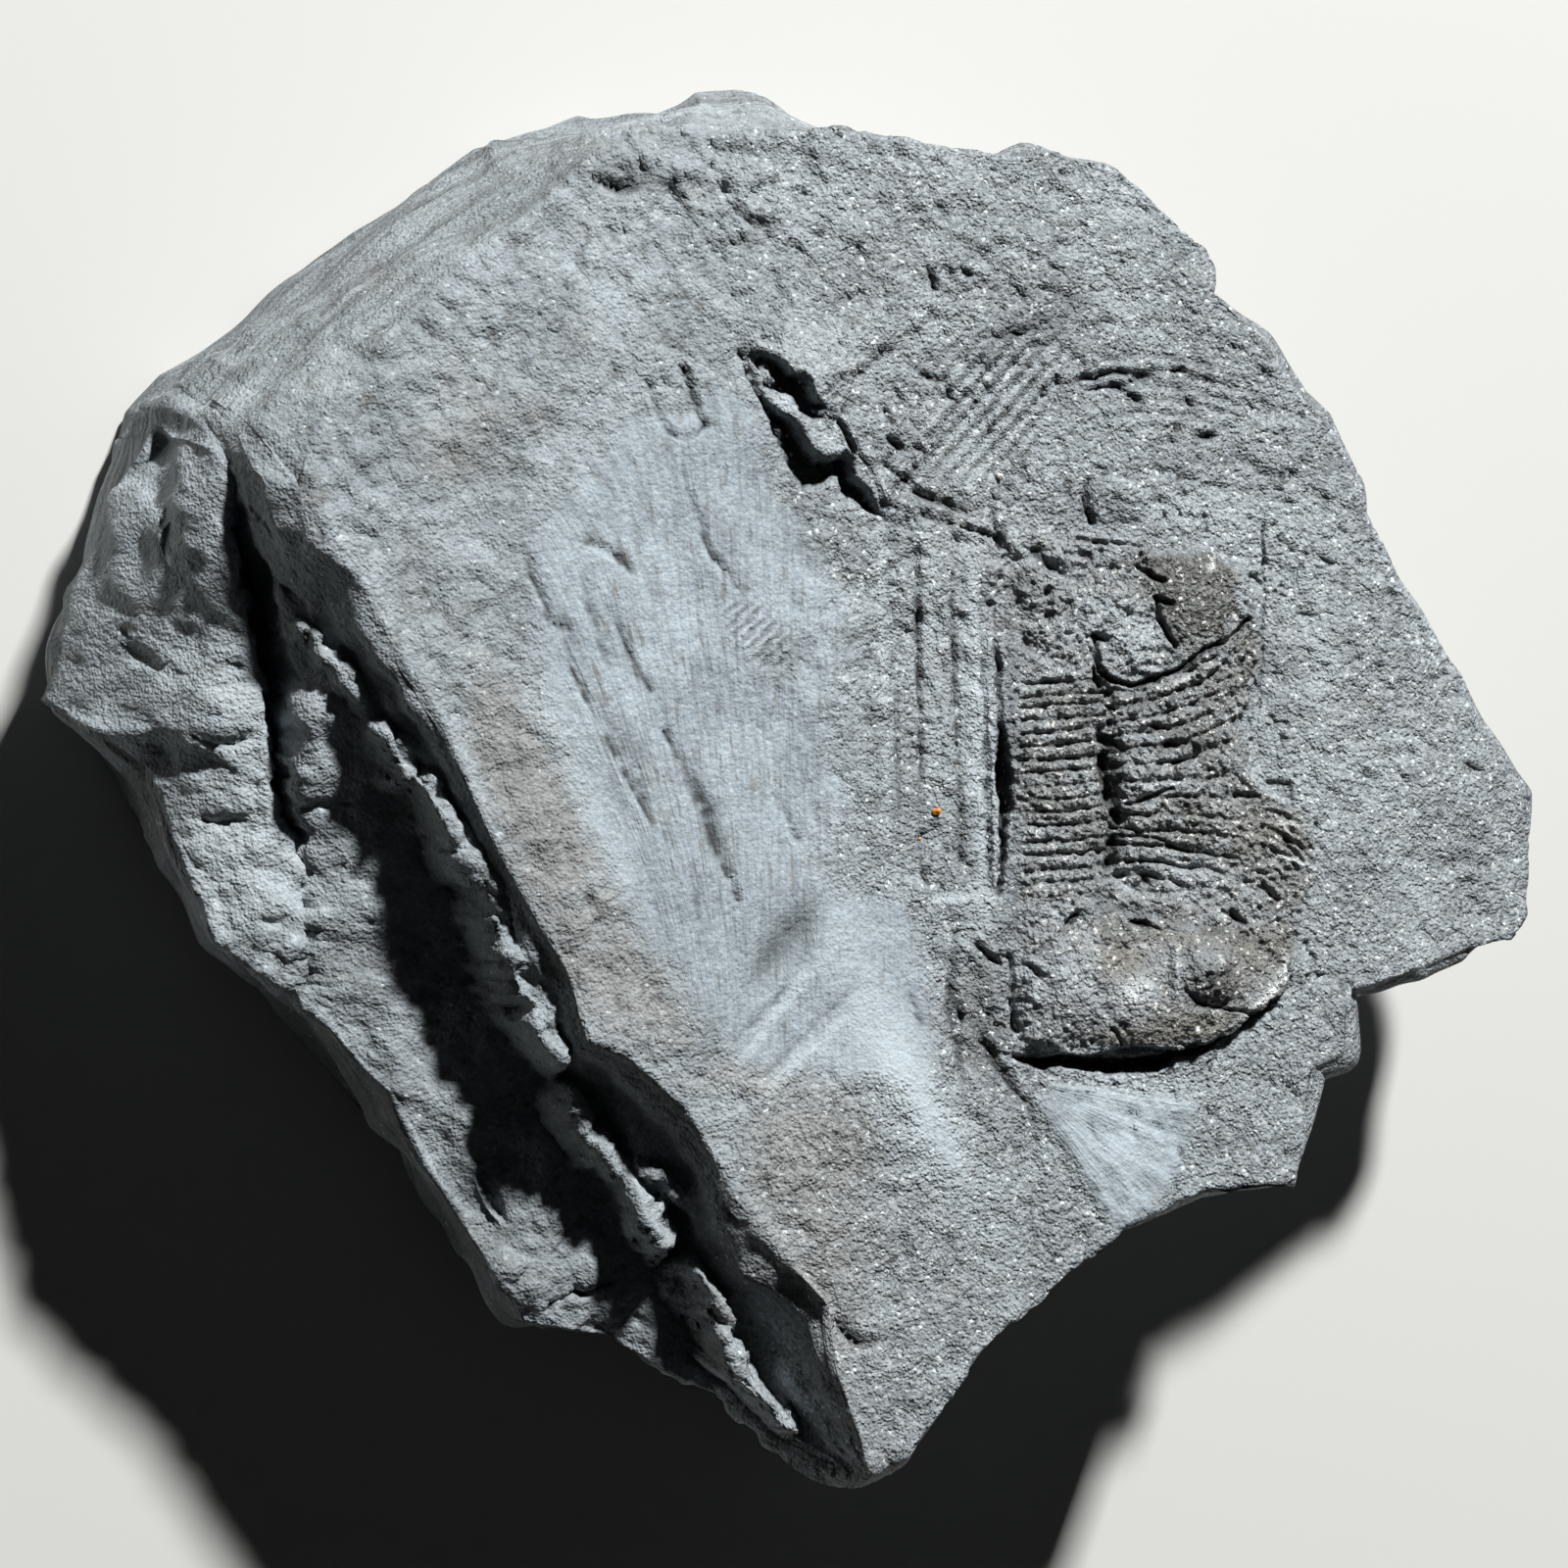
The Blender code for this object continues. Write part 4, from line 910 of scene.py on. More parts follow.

# %% [markdown]
# The stone is not one grey. Patches are browned by iron. Crests, lit risers and faces turned to the lamp,
# and the lobe that falls away from it, get a painted highlight, and the dimples and dips get painted
# shade. These are soft marks laid down one by one, each with a middle, half widths, a strength and a turn.

# %% Marks of colour on the stone
# (x, y, two half widths, strength, turn)
# painted highlight on crests, risers and faces turned to the lamp, and on the lobe that falls away from it
LIGHT_MARKS = [
    (6, -19.5, 9.5, 2.2, 1, -62), (20, -23.5, 5, 3.5, 0.4), (11.8, 4, 0.4, 13, 1), (28, 18.4, 4, 1.4, 0.6),
    (36.8, 7.5, 1.5, 3.6, 0.7), (10.2, -11, 1.8, 2.4, 0.4), (-42, 12, 6, 10, 1, 10),
    (-36, -3, 4, 10, 1, -20), (11.6, 3, 0.9, 10, 0.4), (10.4, 4, 2.4, 11, 0.4), (5.2, 12, 0.3, 12, 0.7),
    (8.6, 14, 0.3, 9, 0.6), (-2.7, -15, 4.2, 0.35, 1.3, 49), (10.4, -7.55, 2.4, 0.25, 1.8, 4),
    (-0.5, -17.4, 5.2, 0.35, 1.1, 40), (-15.6, -1, 0.8, 9, 0.5, 24), (12.6, -2, 0.3, 6, 0.6),
    (1.7, 22.4, 1, 0.8, 0.7, 20), (-1.6, 24.9, 1.2, 0.5, 0.6, -40),
]
BROWNED = [
    (-5, -19, 3.2, 1, 0.9), (-18.4, -1.7, 2.2, 6, 0.8, 25), (-16, -6, 3.5, 8, 0.6, 20),
    (-11.5, -14, 4, 4, 1), (-1, -24.5, 5.5, 5.5, 1), (1, -34, 5, 7, 0.8), (-21.5, 4, 3, 8, 0.7, 20),
    (11.5, -15, 1.6, 5, 0.9), (38, 12, 4, 7, 0.3, 20), (8, 22, 4, 4, 0.5), (-24, 22, 5, 4, 0.4),
    (15, 14, 3.5, 3, 0.8), (-35, 2, 4, 12, 0.2),
]
# painted shade in the dimples, hollows and dips of the face
SHADE_MARKS = [
    (-1.8, -10, 3, 1.1, 1.5, 48), (-7.6, -1, 0.7, 3.6, 0.6, 25), (12.2, -16, 1.2, 2.8, 0.9),
    (11.4, -14, 1.6, 5, 0.35), (17.2, 14.4, 1.4, 0.6, 0.7, -30), (14.6, 13.6, 2.6, 2, 0.5),
    (-11.6, 1.6, 0.5, 4, 0.5, 25), (-1.8, 8.2, 2.6, 1.6, 0.4), (10.6, -2, 1.2, 8, 0.45),
    (21.8, 27, 4.5, 1.6, 0.5, 5), (15, 30, 5, 1.2, 0.6, 18), (8.4, 18.6, 2.4, 1.2, 0.6, -15),
    (6.6, 21.4, 2.6, 2.8, 0.5), (-16.2, 9.6, 0.4, 5.5, 0.5, 24), (14.1, 1, 0.7, 10, 0.8),
    (13.9, -8, 1.2, 2.4, 0.5), (21.6, 19, 2.2, 1.2, 0.5, -15), (-12.4, 39.6, 3, 1.6, 0.5),
]
# painted light and shade on the ribs of the imprints, as in IMPRINTS; the first one's lie a little off its
# ribs
IMPRINT_LIGHT_AND_SHADE = [
    ((13, 25.6), (7, 4.2), 46, 0.95, 0, 0.8), ((25, 26.4), (6.5, 3), 0, 0.95, 0.03, 0.3),
    ((-3.6, 9.8), (1.5, 2.9), 45, 0.68, 0, 1.3),
]
# the polish reaches a little past the slab, which is spread from this point
POLISH_MIDDLE, POLISH_SIZE = (-3.0, 0.0), 1.1
# a crack this deep, in mm, gets full painted shade; a scratch's painted shade is wider and deeper than it
# is cut
DARK_AT = 0.7
SCRATCH_WIDER, SCRATCH_DEEPER = 0.12, 2.0


def shade_of_cracks(x, y):
    """The painted shade in the cracks, deeper scratches and gaps of the upper face: their depth over
    DARK_AT.
    """
    deep = grooves(*shaken(x, y, 0.14, 43), CRACKS)
    wider = [[(a, b, half + SCRATCH_WIDER, SCRATCH_DEEPER * depth) for a, b, half, depth in line]
             for line in SCRATCHES]
    broken = 0.25 + 0.75 * smooth(0.75 + 1.3 * rough(np.stack([x, y], -1), 0.7, 2, 49))
    scored = broken * grooves(*shaken(x, y, 0.09, 44), wider)
    return (deep + scored) / DARK_AT + voids(x, y)


def paint_face(piece, x, y, shown_part, crack_shade, wall_shade):
    """The numbers that the shale's material reads, from the plan of a piece's points.

    `shown_part` is 1 on the upper face and 0 off it, the next argument is the painted shade of a crack,
    and the last is the painted shade of the broken side that faces away from the light.
    """
    patchy = rough(np.stack([x, y], -1), 3.0, 4, 81, 0.6)
    wide = about(np.array(SLAB), POLISH_MIDDLE, POLISH_SIZE)
    polish = smooth(bared(x, y, 4.0) * 1.5 + 0.35 * patchy) * inside(x, y, wide, 2.5)
    polish = np.maximum(polish - marks(x, y, COARSE), 0.0)
    torn_at = inside(x, y, [corner[:2] for corner in TORN_TREAD] + BEHIND, 0.3)
    fan = fan_ribs(x, y)[0]
    spread = np.degrees(np.arctan2(y - FAN_POINT[1], x - FAN_POINT[0])) / 6.0
    rib_light_and_shade = sum(imprint(x, y, *row) for row in IMPRINT_LIGHT_AND_SHADE)
    faint = 1.0 - 0.6 * smooth((x + 2.0) / 6.0)
    # painted shade, from the shade marks and the dark lines of the imprints
    painted_shade = shown_part * (marks(x, y, SHADE_MARKS) + np.maximum(-rib_light_and_shade, 0.0))
    paint(piece, "polish", shown_part * np.maximum(polish * (1.0 - torn_at), fan))
    paint(piece, "lanes", shown_part * np.maximum(faint * inside(x, y, LANES, 2.5), fan))
    paint(piece, "lane", np.where(fan > 0.05, spread, lane(x, y)))
    # painted highlight, from the light marks and the pale lines of the imprints
    paint(piece, "crest", marks(x, y, LIGHT_MARKS) + np.maximum(rib_light_and_shade, 0.0))
    paint(piece, "browned", smooth(marks(x, y, BROWNED) + 0.35 * patchy))
    paint(piece, "painted_shade", np.clip((painted_shade + wall_shade) * (1.0 + 0.6 * patchy), 0.0, 1.0))
    # painted shade in the cracks, scratches and gaps
    paint(piece, "crack_shade", np.clip(crack_shade, 0.0, 1.0))
    paint(piece, "calm", smooth((8.0 - x + 3.0 * patchy) / 20.0))


print("marks of colour:", len(LIGHT_MARKS), "pale,", len(BROWNED), "brown,", len(SHADE_MARKS), "dark")

# %% [markdown]
# Now the block is made and painted. On its upper face the cracks get painted shade by their depth. On the
# side turned from the light the broken wall gets painted shade. `edge_on` is 1 where the beds are cut
# across, so that the material draws their fine laminae there and nowhere else.

# %% Block
block = make_piece("shale_block", stack, quads.tolist() + pole.tolist())
plan_x, plan_y = stack[:, 0], stack[:, 1]
on_top, crack_shade, wall_shade = np.zeros((3, len(stack)))
on_top[:top_count] = smooth((column - EDGE_COLUMN) / 6.0)
# painted shade in the cracks, scratches and gaps of the upper face
shade_here = shade_of_cracks(plan_x[:top_count], plan_y[:top_count])
crack_shade[:top_count] = np.where(column < EDGE_COLUMN, 0.0, shade_here)
# painted shade on the stepped side's broken wall where it faces away from the lamp
broken_side = smooth((10.0 - plan_y) / 8.0) * smooth((-plan_x - 2.0) / 4.0)
wall_shade[top_count:-1] = (np.where(normals[:, 0] < -0.2, 0.9, 0.0) * broken_side)[top_count:-1]
paint_face(block, plan_x, plan_y, on_top, crack_shade, wall_shade)
paint(block, "edge_on", np.where(hangs, smooth((0.75 - np.abs(normals[:, 2])) / 0.4), 0.0))
print("block, points", len(stack), "numbers on each", len(block.data.attributes))

# %% [markdown]
# ## The trilobite
#
# What is left of the animal is its segmented thorax, part of its tail shield, and the head shield, which
# is crumpled and tilted. The thorax has three lobes with a furrow between, and each segment is a rib
# across them. A stack of separate ribs would look like a toy, and the real ones have been pressed into
# one sheet. So the fossil is one height field with a fine grid of a tenth of a millimetre. Its ribs are
# a wave over a bent row coordinate, which turns as the real rows do.

# %% Fossil rows
ROW_PITCH = 1.02
# right of this x the rows run out from the axis
AXIS_X = 21.0
# gaps between the left ribs, by their y at x = 17, from head to tail
LEFT_GAPS = [
    -7.4, -6.5, -5.7, -4.6, -3.8, -2.7, -1.8, -0.95, -0.1, 0.85, 1.63, 2.6, 3.5, 4.3, 5.2, 5.85, 6.7, 7.6,
]
# the furrow along the left side of the axis, and how the right rows rise and bend, by y
FURROW = [
    (20.1, 9.2), (20.6, 6.9), (21.3, 4.6), (20.8, 2.6), (21.1, 0), (21.7, -2), (20.9, -5.2), (22.2, -6.5),
]
BEND_Y = [-9, -4, 0, 3.5, 8]
ROW_RISE = [-0.05, 0.02, 0.13, 0.12, 0.06]
ROW_BEND = [-0.02, -0.012, -0.012, 0.012, 0.034]


def row_of(x, y):
    """The row coordinate, whole numbers in the gaps.

    Left of the furrow the rows rise a little and their gaps are listed. Right of it they climb near
    the tail, arch over in the middle and droop near the head: y, less that rise, over the pitch.
    """
    out = x - AXIS_X
    rise = np.interp(y, BEND_Y, ROW_RISE)
    bend = np.interp(y, BEND_Y, ROW_BEND)
    right = (y - rise * out - bend * out * out) / ROW_PITCH
    left = np.interp(y - 0.07 * (x - 17.0), LEFT_GAPS, np.arange(len(LEFT_GAPS)))
    return np.where(out > 0, right, left)


def ribs(x, y):
    """Rounded ribs with narrow gaps: 1 on a crest, 0 in a gap, uneven in width from row to row."""
    points = np.stack([x, y], -1)
    unsteady = smooth((x - 20.5) / 1.5)
    row = row_of(x, y) + (0.1 + 0.1 * unsteady) * noise(points, 2.6, 61) + 0.12 * noise(points, 0.7, 62)
    part = row - np.floor(row)
    gap = 0.17 + 0.06 * noise(points, 1.3, 60)
    return 1.0 - np.exp(-((np.minimum(part, 1.0 - part) / gap) ** 2))


right_rows = row_of(np.full(2, 26.0), np.array([-8.0, 8.0]))
print("gaps on the left", len(LEFT_GAPS), "rows on the right", round(float(np.ptp(right_rows))))

# %% [markdown]
# What the ages did to the animal is drawn feature by feature: the outline that the stone has left bare,
# the smooth cap of the tail shield, the pits and cracks where bits of the shell broke off, and the
# swells of the crumpled head. The one long crack parts the thorax from the tail.

# %% Fossil outlines, pits and cracks
BODY = [
    (15.8, 16.9), (19.8, 17.3), (24, 16.2), (28.5, 16.3), (31.4, 14.9), (32.5, 12.4), (32.9, 10),
    (32.6, 7.6), (31.9, 5.6), (31.5, 3.4), (31.8, 1), (33.2, -0.6), (35.8, -1.4), (36.3, -4.2),
    (36.4, -6.5), (35.4, -9), (34.6, -11.5), (34.2, -12.5), (33.8, -13.3), (31.4, -15.3), (29, -16.8),
    (27.4, -17.4), (25.6, -17.6), (24.6, -17.5), (22.1, -17.75), (19.7, -17.9), (14.1, -18), (13.6, -15),
    (13.8, -12), (13.9, -9), (13.9, -7), (13.9, -4), (13.9, 2), (14.1, 5), (14.6, 7.6), (14.6, 10),
    (14.4, 13),
]
CAP = [
    (24, 16.1), (25.8, 16.3), (28.3, 15.8), (29.9, 15.2), (30.5, 14), (30.8, 12.6), (30.6, 11.6),
    (29.3, 10.6), (28.1, 9.9), (26.2, 9.1), (25.6, 9.7), (25, 10.6), (24.8, 11.8), (24.7, 13), (23.8, 14),
    (23.9, 15.1),
]
# the line that the top of the head shield makes against the thorax
HEAD_TOP = [
    (15.4, -11.4), (17.2, -9.6), (20.3, -8), (23.5, -8.7), (28.4, -9.6), (31.2, -10.7), (33.4, -12.4),
]
# (x, y, two half widths, depth, turn)
PITS = [
    (21.2, 2.8, 1, 0.35, 1, -25), (20.9, 1.3, 0.45, 0.9, 1.2), (21.2, -0.5, 0.45, 0.9, 1.2, 8),
    (21.6, -2.2, 0.4, 0.7, 0.9, 20), (21.3, -3.9, 0.35, 0.7, 0.8, -15), (21, -5.4, 0.35, 0.6, 0.9, -20),
    (24.4, 3.8, 0.8, 0.22, 0.9, 2), (25.6, 2.75, 0.6, 0.25, 0.9, 12), (26.1, 1.6, 0.6, 0.2, 0.6, 25),
    (23.4, -6.4, 0.28, 0.5, 0.9, 35), (27.2, 2.3, 0.25, 0.5, 0.6, 20), (30.5, -0.8, 0.7, 0.2, 0.9),
    (17.4, 14.5, 1.4, 0.35, 0.6, -32), (16.9, 12.7, 0.22, 0.4, 0.9), (19.6, 15.2, 0.8, 0.3, 0.6, -10),
    (17, 11.2, 0.3, 0.4, 0.9), (14.2, 12.6, 1.2, 0.3, 0.7, -30), (15.6, 9.4, 0.9, 0.6, 0.6),
    (20.6, 9.7, 0.6, 0.25, 1, -10), (32.3, -7, 1.2, 0.12, 0.2, -38), (34, -1.6, 1.6, 0.12, 0.2, -6),
    (33.9, -3.9, 1.3, 0.12, 0.2, -22), (22.9, -9.3, 0.7, 0.15, 0.7, -12), (18, -8.9, 0.6, 0.2, 0.8, 30),
    (29.7, -8.8, 0.7, 0.2, 0.7, -40), (16, 15.4, 1.2, 0.4, 0.6, 10), (15.2, -12.4, 0.8, 0.2, 0.5, -40),
    (23.7, 15.2, 0.3, 0.5, 0.6),
]
# (x, y, half width, depth)
FOSSIL_CRACKS = [
    [(20.2, 9.8, 0.25, 0.5), (20.3, 8.2, 0.3, 0.9), (20.5, 7.5, 0.3, 0.8), (21.5, 6.8, 0.3, 0.8),
     (22.9, 6.6, 0.3, 0.8), (24.7, 7, 0.38, 1.2), (26.5, 7.8, 0.32, 0.9), (28.2, 9, 0.3, 0.7),
     (30, 9.8, 0.3, 0.7), (31.5, 11, 0.35, 0.8)],
    [(20, 7.6, 0.25, 0.6), (20.6, 6.5, 0.3, 0.9)], [(21.6, 16.2, 0.25, 0.7), (24.2, 15.8, 0.3, 0.8)],
    [(21.4, 16.6, 0.25, 0.5), (22.8, 17.2, 0.25, 0.6), (24.6, 17.5, 0.25, 0.4)],
    [(23.4, 14.6, 0.3, 0.8), (24.4, 13.9, 0.3, 0.8), (25.2, 13.6, 0.3, 0.8)],
    [(24.6, 12.5, 0.25, 0.7), (25.8, 12.1, 0.3, 0.9)],
    [(24.7, 12.4, 0.25, 0.5), (24.9, 11.2, 0.3, 0.9), (25.4, 10.2, 0.3, 1), (26.1, 9.2, 0.35, 1)],
    [(19.2, 16.4, 0.3, 0.5), (21.4, 16, 0.3, 0.6)], [(20.3, -16.2, 0.2, 0.3), (21.3, -17.5, 0.25, 0.4)],
    [(25.2, -17.3, 0.2, 0.3), (26.2, -17.6, 0.25, 0.4)], [(28, -14.9, 0.2, 0.4), (30.6, -15.3, 0.25, 0.5)],
    [(25.4, -13.6, 0.25, 0.15), (26.4, -14.6, 0.3, 0.4), (27.6, -14.9, 0.32, 0.45),
     (28.7, -14.5, 0.3, 0.3), (29.2, -13.6, 0.25, 0.1)],
    [(22.2, -9.1, 0.22, 0.5), (23.4, -9.5, 0.22, 0.4), (25, -9.8, 0.2, 0.2)],
    [(28.8, -8.6, 0.22, 0.4), (30.2, -9.2, 0.25, 0.5), (31.2, -10.2, 0.2, 0.2)],
    [(31.6, -6.8, 0.22, 0.4), (33, -7.8, 0.22, 0.4)], [(17.6, -9.4, 0.25, 0.5), (18.1, -8.8, 0.22, 0.4)],
    [(31, -1, 0.3, 0.4), (33, -0.5, 0.2, 0.2)],
    [(21.9, -3.4, 0.2, 0.5), (24, -3.6, 0.2, 0.5), (26.4, -4.5, 0.22, 0.6), (30, -5, 0.2, 0.4)],
    [(22.3, -1.4, 0.25, 0.8), (25.4, -0.3, 0.22, 0.5)],
]
# (x, y, two half widths, height, turn)
FOSSIL_SWELLS = [
    (22.2, -13.9, 1.6, 1.4, 0.35, 15), (27.3, -12.3, 1.7, 1.9, 1.15), (28, -11.6, 0.5, 0.5, 0.3),
    (26.4, -11.4, 0.5, 0.7, 0.25), (17, -12.2, 1.8, 2.6, 0.3), (24.8, -12.4, 0.4, 2.4, 0.3),
    (24.3, -12.6, 0.3, 1.4, -0.2), (21.6, -11.4, 2, 1, -0.4, 5), (27.4, -14.6, 1.7, 0.4, -0.25, 4),
    (27.5, -1.5, 3.5, 5.5, 0.35), (17.3, -0.5, 1.9, 7, 0.3), (28, 13, 3.4, 3.2, 0.6),
    (22.9, 9, 1.5, 2, 0.55, 12), (21.6, 12, 2.2, 1.6, 0.35, 8), (15.6, -16.8, 2, 1, 0.45),
    (32.6, -12.9, 1.2, 0.25, 0.25, 42), (31.2, -14.4, 1.6, 0.25, 0.25, 38),
    (34, -5.1, 1.3, 0.15, 0.25, -20), (33.8, -3.3, 2.4, 0.14, 0.15, -54), (35.6, -7, 1.7, 0.14, 0.15, -76),
]
print("fossil pits", len(PITS), "cracks", len(FOSSIL_CRACKS), "swells", len(FOSSIL_SWELLS))

# %% [markdown]
# The shell was altered to a thin dark film. Where it is rubbed it is pale, and where clay still clings to
# it, it is olive. Its folds, pits and creases get painted shade, and a few fine edges and rims that face
# the lamp get a painted highlight.

# %% Marks of colour on the fossil
# (x, y, two half widths, strength, turn)
PALE = [
    (17.2, -12.4, 1.8, 3, 0.9), (21.9, -13.7, 1.6, 1.4, 1.5, 15), (24.9, -12, 0.3, 2.2, 0.8),
    (18.9, -12, 0.5, 2.6, 0.7), (22.9, -10.7, 0.8, 0.18, 0.9), (27, -6.4, 4, 1.7, 0.7, -8),
    (23.2, 8.6, 2.2, 2.4, 1), (20.8, 11.6, 3, 1.8, 0.9), (28.6, 14.6, 0.35, 0.3, 1.4),
    (22, -6.9, 1.3, 0.4, 0.9, -30), (32.6, -12.9, 1.4, 0.22, 1.4, 42), (31, -14.6, 1.6, 0.2, 1.4, 38),
    (34, -5.1, 1.4, 0.12, 1.6, -20), (19, -17.4, 5, 0.35, 0.9), (27, -11.5, 1.2, 0.9, 0.6),
    (18.4, -8.4, 3.5, 0.7, 0.6, 10), (24.6, 1.6, 2.4, 0.6, 0.6, 15), (24.2, -0.1, 2, 0.5, 0.7, 10),
    (23.6, 3, 1.6, 0.35, 0.6, -5), (16, 6.9, 1.6, 0.7, 0.5), (30.8, 12.6, 0.4, 0.8, 0.9),
]
OLIVE = [
    (21.2, -11.6, 2.2, 1.5, 1), (21.6, -16.6, 3.4, 0.8, 0.8), (27, -16, 3, 0.8, 0.8, 10),
    (31.4, -11.6, 2.4, 2.4, 0.8), (24.6, -15.4, 2, 1, 0.7), (26, -10.2, 3, 0.6, 0.7),
    (32.6, -3.4, 3, 2, 0.6, -15), (32, 8, 1.6, 2.4, 0.6),
]
# painted shade in the fossil's folds, pits and creases, and under its eye
FOLD_SHADE = [
    (27.2, -12.9, 1.8, 1.9, 0.55), (27.2, -14.3, 1.7, 0.5, 0.8), (28.3, -12.6, 0.6, 0.5, 0.5),
    (16.8, -16.4, 1.6, 0.9, 0.4), (21.3, 0.6, 0.8, 3.6, 1), (21.3, -4, 0.7, 2, 0.8),
    (17.3, 14.5, 1.4, 0.5, 0.6, -30), (33.8, -1.5, 1.8, 0.25, 0.35, -4), (33.8, -4, 1.6, 0.3, 0.3, -20),
    (32.2, -7, 1.4, 0.3, 0.4, -38), (24, 5.6, 3.6, 0.8, 0.6, 12), (26, 3, 2, 0.8, 0.5, 12),
    (16.2, -11.4, 1, 0.4, 0.6, -35), (14.6, 2, 0.6, 5, 0.4),
]
# painted highlight on fine edges and rims that face the lamp
LIT_EDGES = [
    (31.6, -14.3, 2, 0.22, 1.6, 40), (29.5, -15.9, 1, 0.16, 1, 27), (33.2, -12.3, 0.9, 0.15, 1, 85),
    (34, -5.1, 1.3, 0.09, 0.9, -20), (33.8, -3.3, 2.4, 0.1, 0.35, -54), (35.6, -7, 1.7, 0.1, 0.35, -76),
    (34.2, -2.7, 1.5, 0.1, 0.5, -2), (28.6, 14.6, 0.3, 0.22, 1.2), (26.4, -16.3, 0.15, 0.15, 1.5),
    (27.9, -11.8, 0.22, 0.3, 0.6), (22.9, -10.8, 0.7, 0.12, 0.5), (21.7, -13.9, 1.1, 0.9, 0.4, 10),
    (29, -15, 1, 0.08, 0.7, -16), (26.6, 7, 1.2, 0.12, 0.6, 25), (16, -17.5, 1.6, 0.15, 0.4),
]
print("marks on the fossil", sum(len(table) for table in (PALE, OLIVE, FOLD_SHADE, LIT_EDGES)))

# %% [markdown]
# The relief adds these up. The thorax ribs stand about a third of a millimetre above their gaps and fade
# out towards the head and the tail. The tail shield carries faint rings, like the growth lines of a
# shell, outside its smooth cap. The head is one low shield, with a crumpled lump near its middle and
# fine arcs on its side.

# %% Fossil relief
HEAD_MIDDLE, HEAD_SIZE, HEAD_HEIGHT = (24.0, -13.4), (10.4, 5.4), 1.7
# where the thorax ends against the tail: y by x
TAIL_X = [14, 20.2, 21.5, 23, 24.8, 26.5, 28.2, 31.5]
TAIL_Y = [7.8, 7.6, 6.8, 6.6, 7, 7.8, 9, 11.2]
# middle of the tail's rings, their pitch, and how much flatter they are than circles
RING_POINT, RING_PITCH, RING_FLAT = (27.6, 12.6), 0.75, 1.1
RIB_HEIGHT, FURROW_DEPTH = 0.36, 0.9
# the crumpled lump of the head, and the arcs on its side: (middle, half widths, height)
CRUMPLED = ((27.3, -12.6), (1.9, 2.3), 0.26)
ARCED = ((33.8, -4.4), (2.2, 2.8), 0.13)
ARC_POINT, ARC_PITCH = (30.4, -9.2), 0.62


def head_swell(x, y):
    """The head: a low shield, highest near its front, with an even fall to its sides."""
    across = (x - HEAD_MIDDLE[0]) / HEAD_SIZE[0]
    along = (y - HEAD_MIDDLE[1]) / HEAD_SIZE[1]
    return HEAD_HEIGHT * smooth(1.25 - np.hypot(across, along)) * (1.0 - 0.18 * along)


def fossil_relief(x, y):
    """Height of the fossil above the stone's plane, and how far each point is cap and thorax."""
    points = np.stack([x, y], -1)
    ragged_x, ragged_y = shaken(x, y, 0.1, 65)
    thorax = smooth((y + 8.4) / 1.6) * smooth((np.interp(x, TAIL_X, TAIL_Y) - y) / 0.5)
    thorax *= smooth(x - 14.0 - 0.5 * noise(points, 0.9, 67))
    uneven = 1.0 + 0.7 * noise(points, 1.7, 68)
    uneven = uneven * (1.0 - 0.5 * smooth((x - 28.0) / 3.5))
    from_ring = np.hypot((x - RING_POINT[0]) / RING_FLAT, y - RING_POINT[1])
    rings = 0.5 + 0.5 * np.cos(from_ring * 2.0 * np.pi / RING_PITCH)
    ringed = smooth((from_ring - 3.2) / 0.6) * smooth((x - 28.0) / 2.0) * smooth((y - 4.0) / 4.0)
    height = 0.35 + RIB_HEIGHT * thorax * uneven * (ribs(x, y) - 1.0) - 0.16 * ringed * rings
    distance, _, _ = follow(*shaken(x, y, 0.3, 72), FURROW)
    furrow_width = 0.62 + 0.25 * smooth((3.5 - y) / 2.0)
    height -= FURROW_DEPTH * thorax * np.exp(-((distance / furrow_width) ** 2))
    height += head_swell(x, y)
    height += marks(x, y, FOSSIL_SWELLS)
    height -= marks(ragged_x, ragged_y, PITS)
    height -= grooves(ragged_x, ragged_y, FOSSIL_CRACKS)
    cap = inside(ragged_x, ragged_y, CAP, 0.5)
    plain = np.maximum(cap, 0.7 * smooth((head_swell(x, y) - 0.5) / 0.6))
    height += (1.0 - 0.75 * plain) * 0.2 * rough(points, 0.8, 3, 63, 0.8)
    height += 0.05 * rough(points, 2.5, 2, 64)
    height += mound(x, y, *CRUMPLED) * rough(points, 0.8, 3, 71, 0.7)
    arcs = np.hypot(x - ARC_POINT[0], y - ARC_POINT[1]) + 0.15 * noise(points, 1.1, 73)
    height += mound(x, y, *ARCED) * np.cos(2.0 * np.pi * arcs / ARC_PITCH)
    from_head, _, _ = follow(ragged_x, ragged_y, HEAD_TOP)
    height -= 0.25 * np.exp(-((from_head / 0.35) ** 2))
    return height, cap, thorax


print("head, highest", HEAD_HEIGHT, "mm; ribs", RIB_HEIGHT, "mm; furrow", FURROW_DEPTH, "mm")

# %% [markdown]
# The grid of the fossil's piece runs in rows from its tail to its head, between the two sides of its
# margin. Inside the body's outline the fossil's relief takes over from the stone's, with a soft edge
# where the stone laps on to it and a hard one where it was chipped free. At the very rim of the piece
# the surface dips by a tenth of a millimetre, so that it goes under the block's own.

